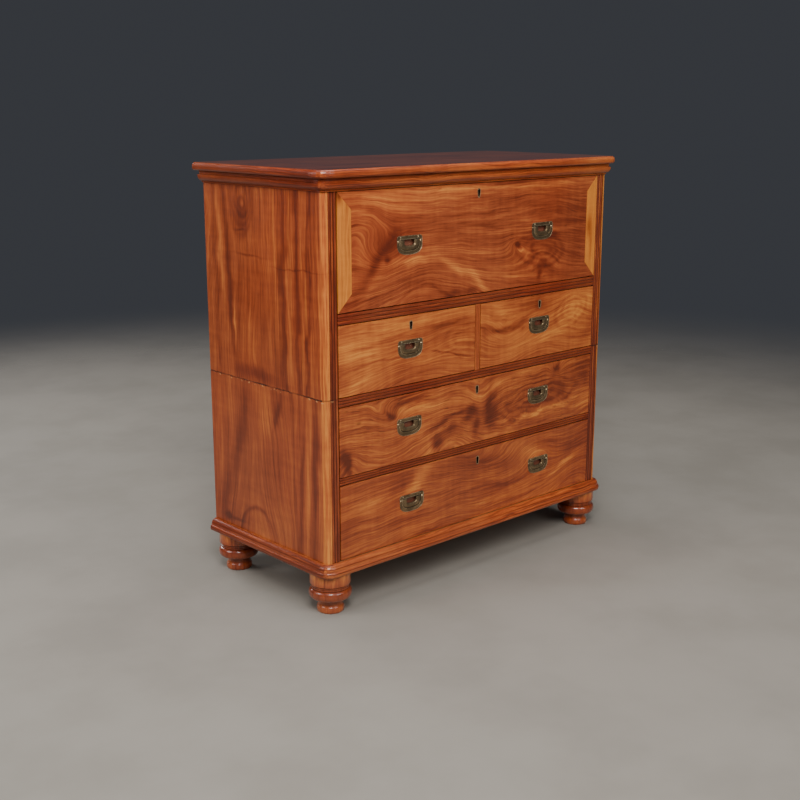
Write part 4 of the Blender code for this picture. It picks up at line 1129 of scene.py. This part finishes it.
def handleBail(node, plate):
    low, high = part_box(node)
    x, z, half, _, spring, drop = plateMeasures(plate)
    reach = half - handle["band"] - handle["bailGap"]
    drop = drop - handle["band"] - handle["bailGap"]
    eyeTop = high.z - z
    shape = bmesh.new()

    def ring(share, y):  # the bail's outline, from its outer edge at 0 to its inner edge at 1
        inX, inZ = share * handle["bailBand"], share * handle["bailFoot"]
        return bailChain(shape, (x, y, z), reach - inX, eyeTop, spring, drop - inZ)

    rings = []
    for share in handle["bailSteps"]:
        rings.append(ring(share, low.y + handle["bailFlat"] * (1 - math.sin(math.pi * share)) ** 2))
    rings += [ring(1, high.y), ring(0, high.y)]
    for first, then in zip(rings, rings[1:] + rings[:1]):
        bmesh.ops.bridge_loops(shape, edges=first + then)
    bmesh.ops.holes_fill(shape, edges=[e for e in shape.edges if e.is_boundary])
    outward(shape)
    addPiece(node + "_dressed", shape, ["aged"], bodyOf(node), (node,), smoothAngle=50)


for plate in plates:
    handlePlate(plate)
    handleBail(plate.replace("_plate", "_bail"), plate)
print("handles made:", len(plates))


# Inside the drawers and the secretaire

for node in [n for n in nodes if n.endswith("_box")]:
    dress(node, ["inside", "insideDeep"], second=facesSideways)
for node in ("secretaire_bed", "secretaire_back", "little_drawer_shelf"):
    dress(node, ["nest"])
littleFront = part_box("pigeonhole_unit")[0].y
knobStart = 0.0005  # before the little drawers' fronts


def onKnob(face):
    return face.calc_center_median().y < littleFront - knobStart


for side in ("left", "right"):
    dress("secretaire_side_" + side, ["nestDeep"])
    dress("little_drawer_" + side, ["smallLeft", "bright"], edgeRound=0.0006, shortest=0.05,
          second=onKnob)
    dress("quadrant_stay_" + side, ["bright"], edgeRound=0.0003, shortest=0.01,
          facets=byShare)
    dress("fall_hinge_" + side, ["bright"], edgeRound=0.0003)
dress("pigeonhole_unit", ["nest", "nestTall"], second=facesSideways)
dress("writing_leather", ["leather"], edgeRound=0.0003)
dress("fall_lock", ["bright"], edgeRound=0.0004)


screw = {
    "radius": 0.0024,
    "proud": 0.0003,
    "slot": 0.00035,  # half its width
    "slotDeep": 0.0002,
    "sides": 20,
    "firstTurn": 35,  # of the slots, in degrees
    "nextTurn": 50,
    "lockInset": 0.006,
    "stayRise": 0.0025,
    "stayDrops": (0.007, 0.043),  # below the stay's top
}


def addScrew(shape, x, y, z, turn):  # a slotted head that faces the back
    facing = Matrix.Rotation(-math.pi / 2, 4, "X") @ Matrix.Rotation(math.radians(turn), 4, "Z")
    head = bmesh.new()
    bmesh.ops.create_circle(head, cap_ends=True, segments=screw["sides"], radius=screw["radius"])
    for way in (-1, 1):
        whole = head.verts[:] + head.edges[:] + head.faces[:]
        bmesh.ops.bisect_plane(head, geom=whole, plane_co=(0, way * screw["slot"], 0), plane_no=(0, 1, 0))
    pushed(head, head.faces[:], (0, 0, screw["proud"] - screw["slotDeep"]))
    top = [f for f in head.faces if min(v.co.z for v in f.verts) > 0]
    pushed(head, [f for f in top if abs(f.calc_center_median().y) > screw["slot"]], (0, 0, screw["slotDeep"]))
    bmesh.ops.transform(head, matrix=Matrix.Translation((x, y, z)) @ facing, verts=head.verts)
    copy = meshOf("screw_head", head)
    shape.from_mesh(copy)
    bpy.data.meshes.remove(copy)


def screwSet(name, places, body):
    shape = bmesh.new()
    for number, place in enumerate(places):
        addScrew(shape, *place, screw["firstTurn"] + screw["nextTurn"] * number)
    outward(shape)
    addPiece(name, shape, ["bright"], body)


low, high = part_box("fall_lock")
inset = screw["lockInset"]
corners = [(x, high.y, z) for x in (low.x + inset, high.x - inset) for z in (low.z + inset, high.z - inset)]
screwSet("fall_lock_screws", corners, bodyOf("fall_lock"))
for side in ("left", "right"):
    low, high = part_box("quadrant_stay_" + side)
    middle = (low.x + high.x) / 2
    places = [(middle, low.y + screw["stayRise"], high.z - drop) for drop in screw["stayDrops"]]
    screwSet("quadrant_stay_screws_" + side, places, "fall")
print("inside dressed")


# Stage, light and camera

stageLook = {
    "floor": (0.27, 0.245, 0.210, 1.0),
    "shade": (0.20, 0.180, 0.150, 1.0),
    "world": (0.042, 0.045, 0.052, 1.0),
    "fade": (1.7, 4.6),
    "reach": 6.0,
    "sides": 96,
    "mottle": (2.4, 4.0, 0.6),  # noise per metre, detail and roughness
}
photoView = {
    "place": (-2.2703, -2.3914, 1.2491),
    "towards": (0.6576, 0.7137, -0.2412),
    "lens": 54.0,
    "sensor": 36.0,
}
lights = {
    "key": {"place": (-2.2, -2.6, 3.2), "aim": (0.0, 0.0, 0.6), "size": (1.6, 1.6), "power": 146.0},
    "front": {"place": (0.2, -3.6, 2.4), "aim": (0.1, -0.2, 0.5), "size": (1.8, 1.4), "power": 50.0},
    "overhead": {"place": (0.0, -0.2, 3.6), "aim": (0.0, 0.0, 0.0), "size": (3.0, 2.0), "power": 65.0},
    "back": {"place": (-0.4, 3.8, 1.8), "aim": (0.0, 0.2, 0.6), "size": (1.6, 1.4), "power": 55.0},
    "rim": {"place": (-3.0, 0.8, 2.0), "aim": (-0.3, 0.0, 0.6), "size": (1.4, 1.4), "power": 45.0},
}


def floorFinish():
    material, root, spot = newFinish("paleFloor")
    far = root.node("VectorMath", {"operation": "LENGTH"}, {0: spot}, "Value").between(*stageLook["fade"])
    mottle = spot.noise(*stageLook["mottle"]).between(0.35, 0.7)
    colour = (mottle * 0.5).blend(stageLook["floor"], stageLook["shade"])
    return setShader(material, {"Base Color": colour, "Alpha": 1 - far, "Roughness": 0.8})


def makeStage():
    shape = bmesh.new()
    sides = stageLook["sides"]
    bmesh.ops.create_circle(shape, cap_ends=True, segments=sides, radius=stageLook["reach"])
    finishes["floor"] = floorFinish()
    floor = linked("floor", meshOf("floor", shape, ["floor"]))
    world = bpy.context.scene.world or bpy.data.worlds.new("studio")
    bpy.context.scene.world = world
    world.use_nodes = True
    world.node_tree.nodes["Background"].inputs["Color"].default_value = stageLook["world"]
    for name, look in lights.items():
        lamp = bpy.data.lights.new(name, "AREA")
        lamp.shape = "RECTANGLE"
        lamp.size, lamp.size_y = look["size"]
        lamp.energy = look["power"]
        holder = linked(name, lamp)
        holder.location = look["place"]
        aim = Vector(look["aim"]) - Vector(look["place"])
        holder.rotation_euler = aim.to_track_quat("-Z", "Y").to_euler()


def makeCamera():
    lens = bpy.data.cameras.new("photo_view")
    lens.lens = photoView["lens"]
    lens.sensor_width = photoView["sensor"]
    camera = linked("photo_view", lens)
    camera.location = photoView["place"]
    camera.rotation_euler = Vector(photoView["towards"]).to_track_quat("-Z", "Y").to_euler()
    bpy.context.scene.camera = camera


makeStage()
makeCamera()
print("stage and camera set")
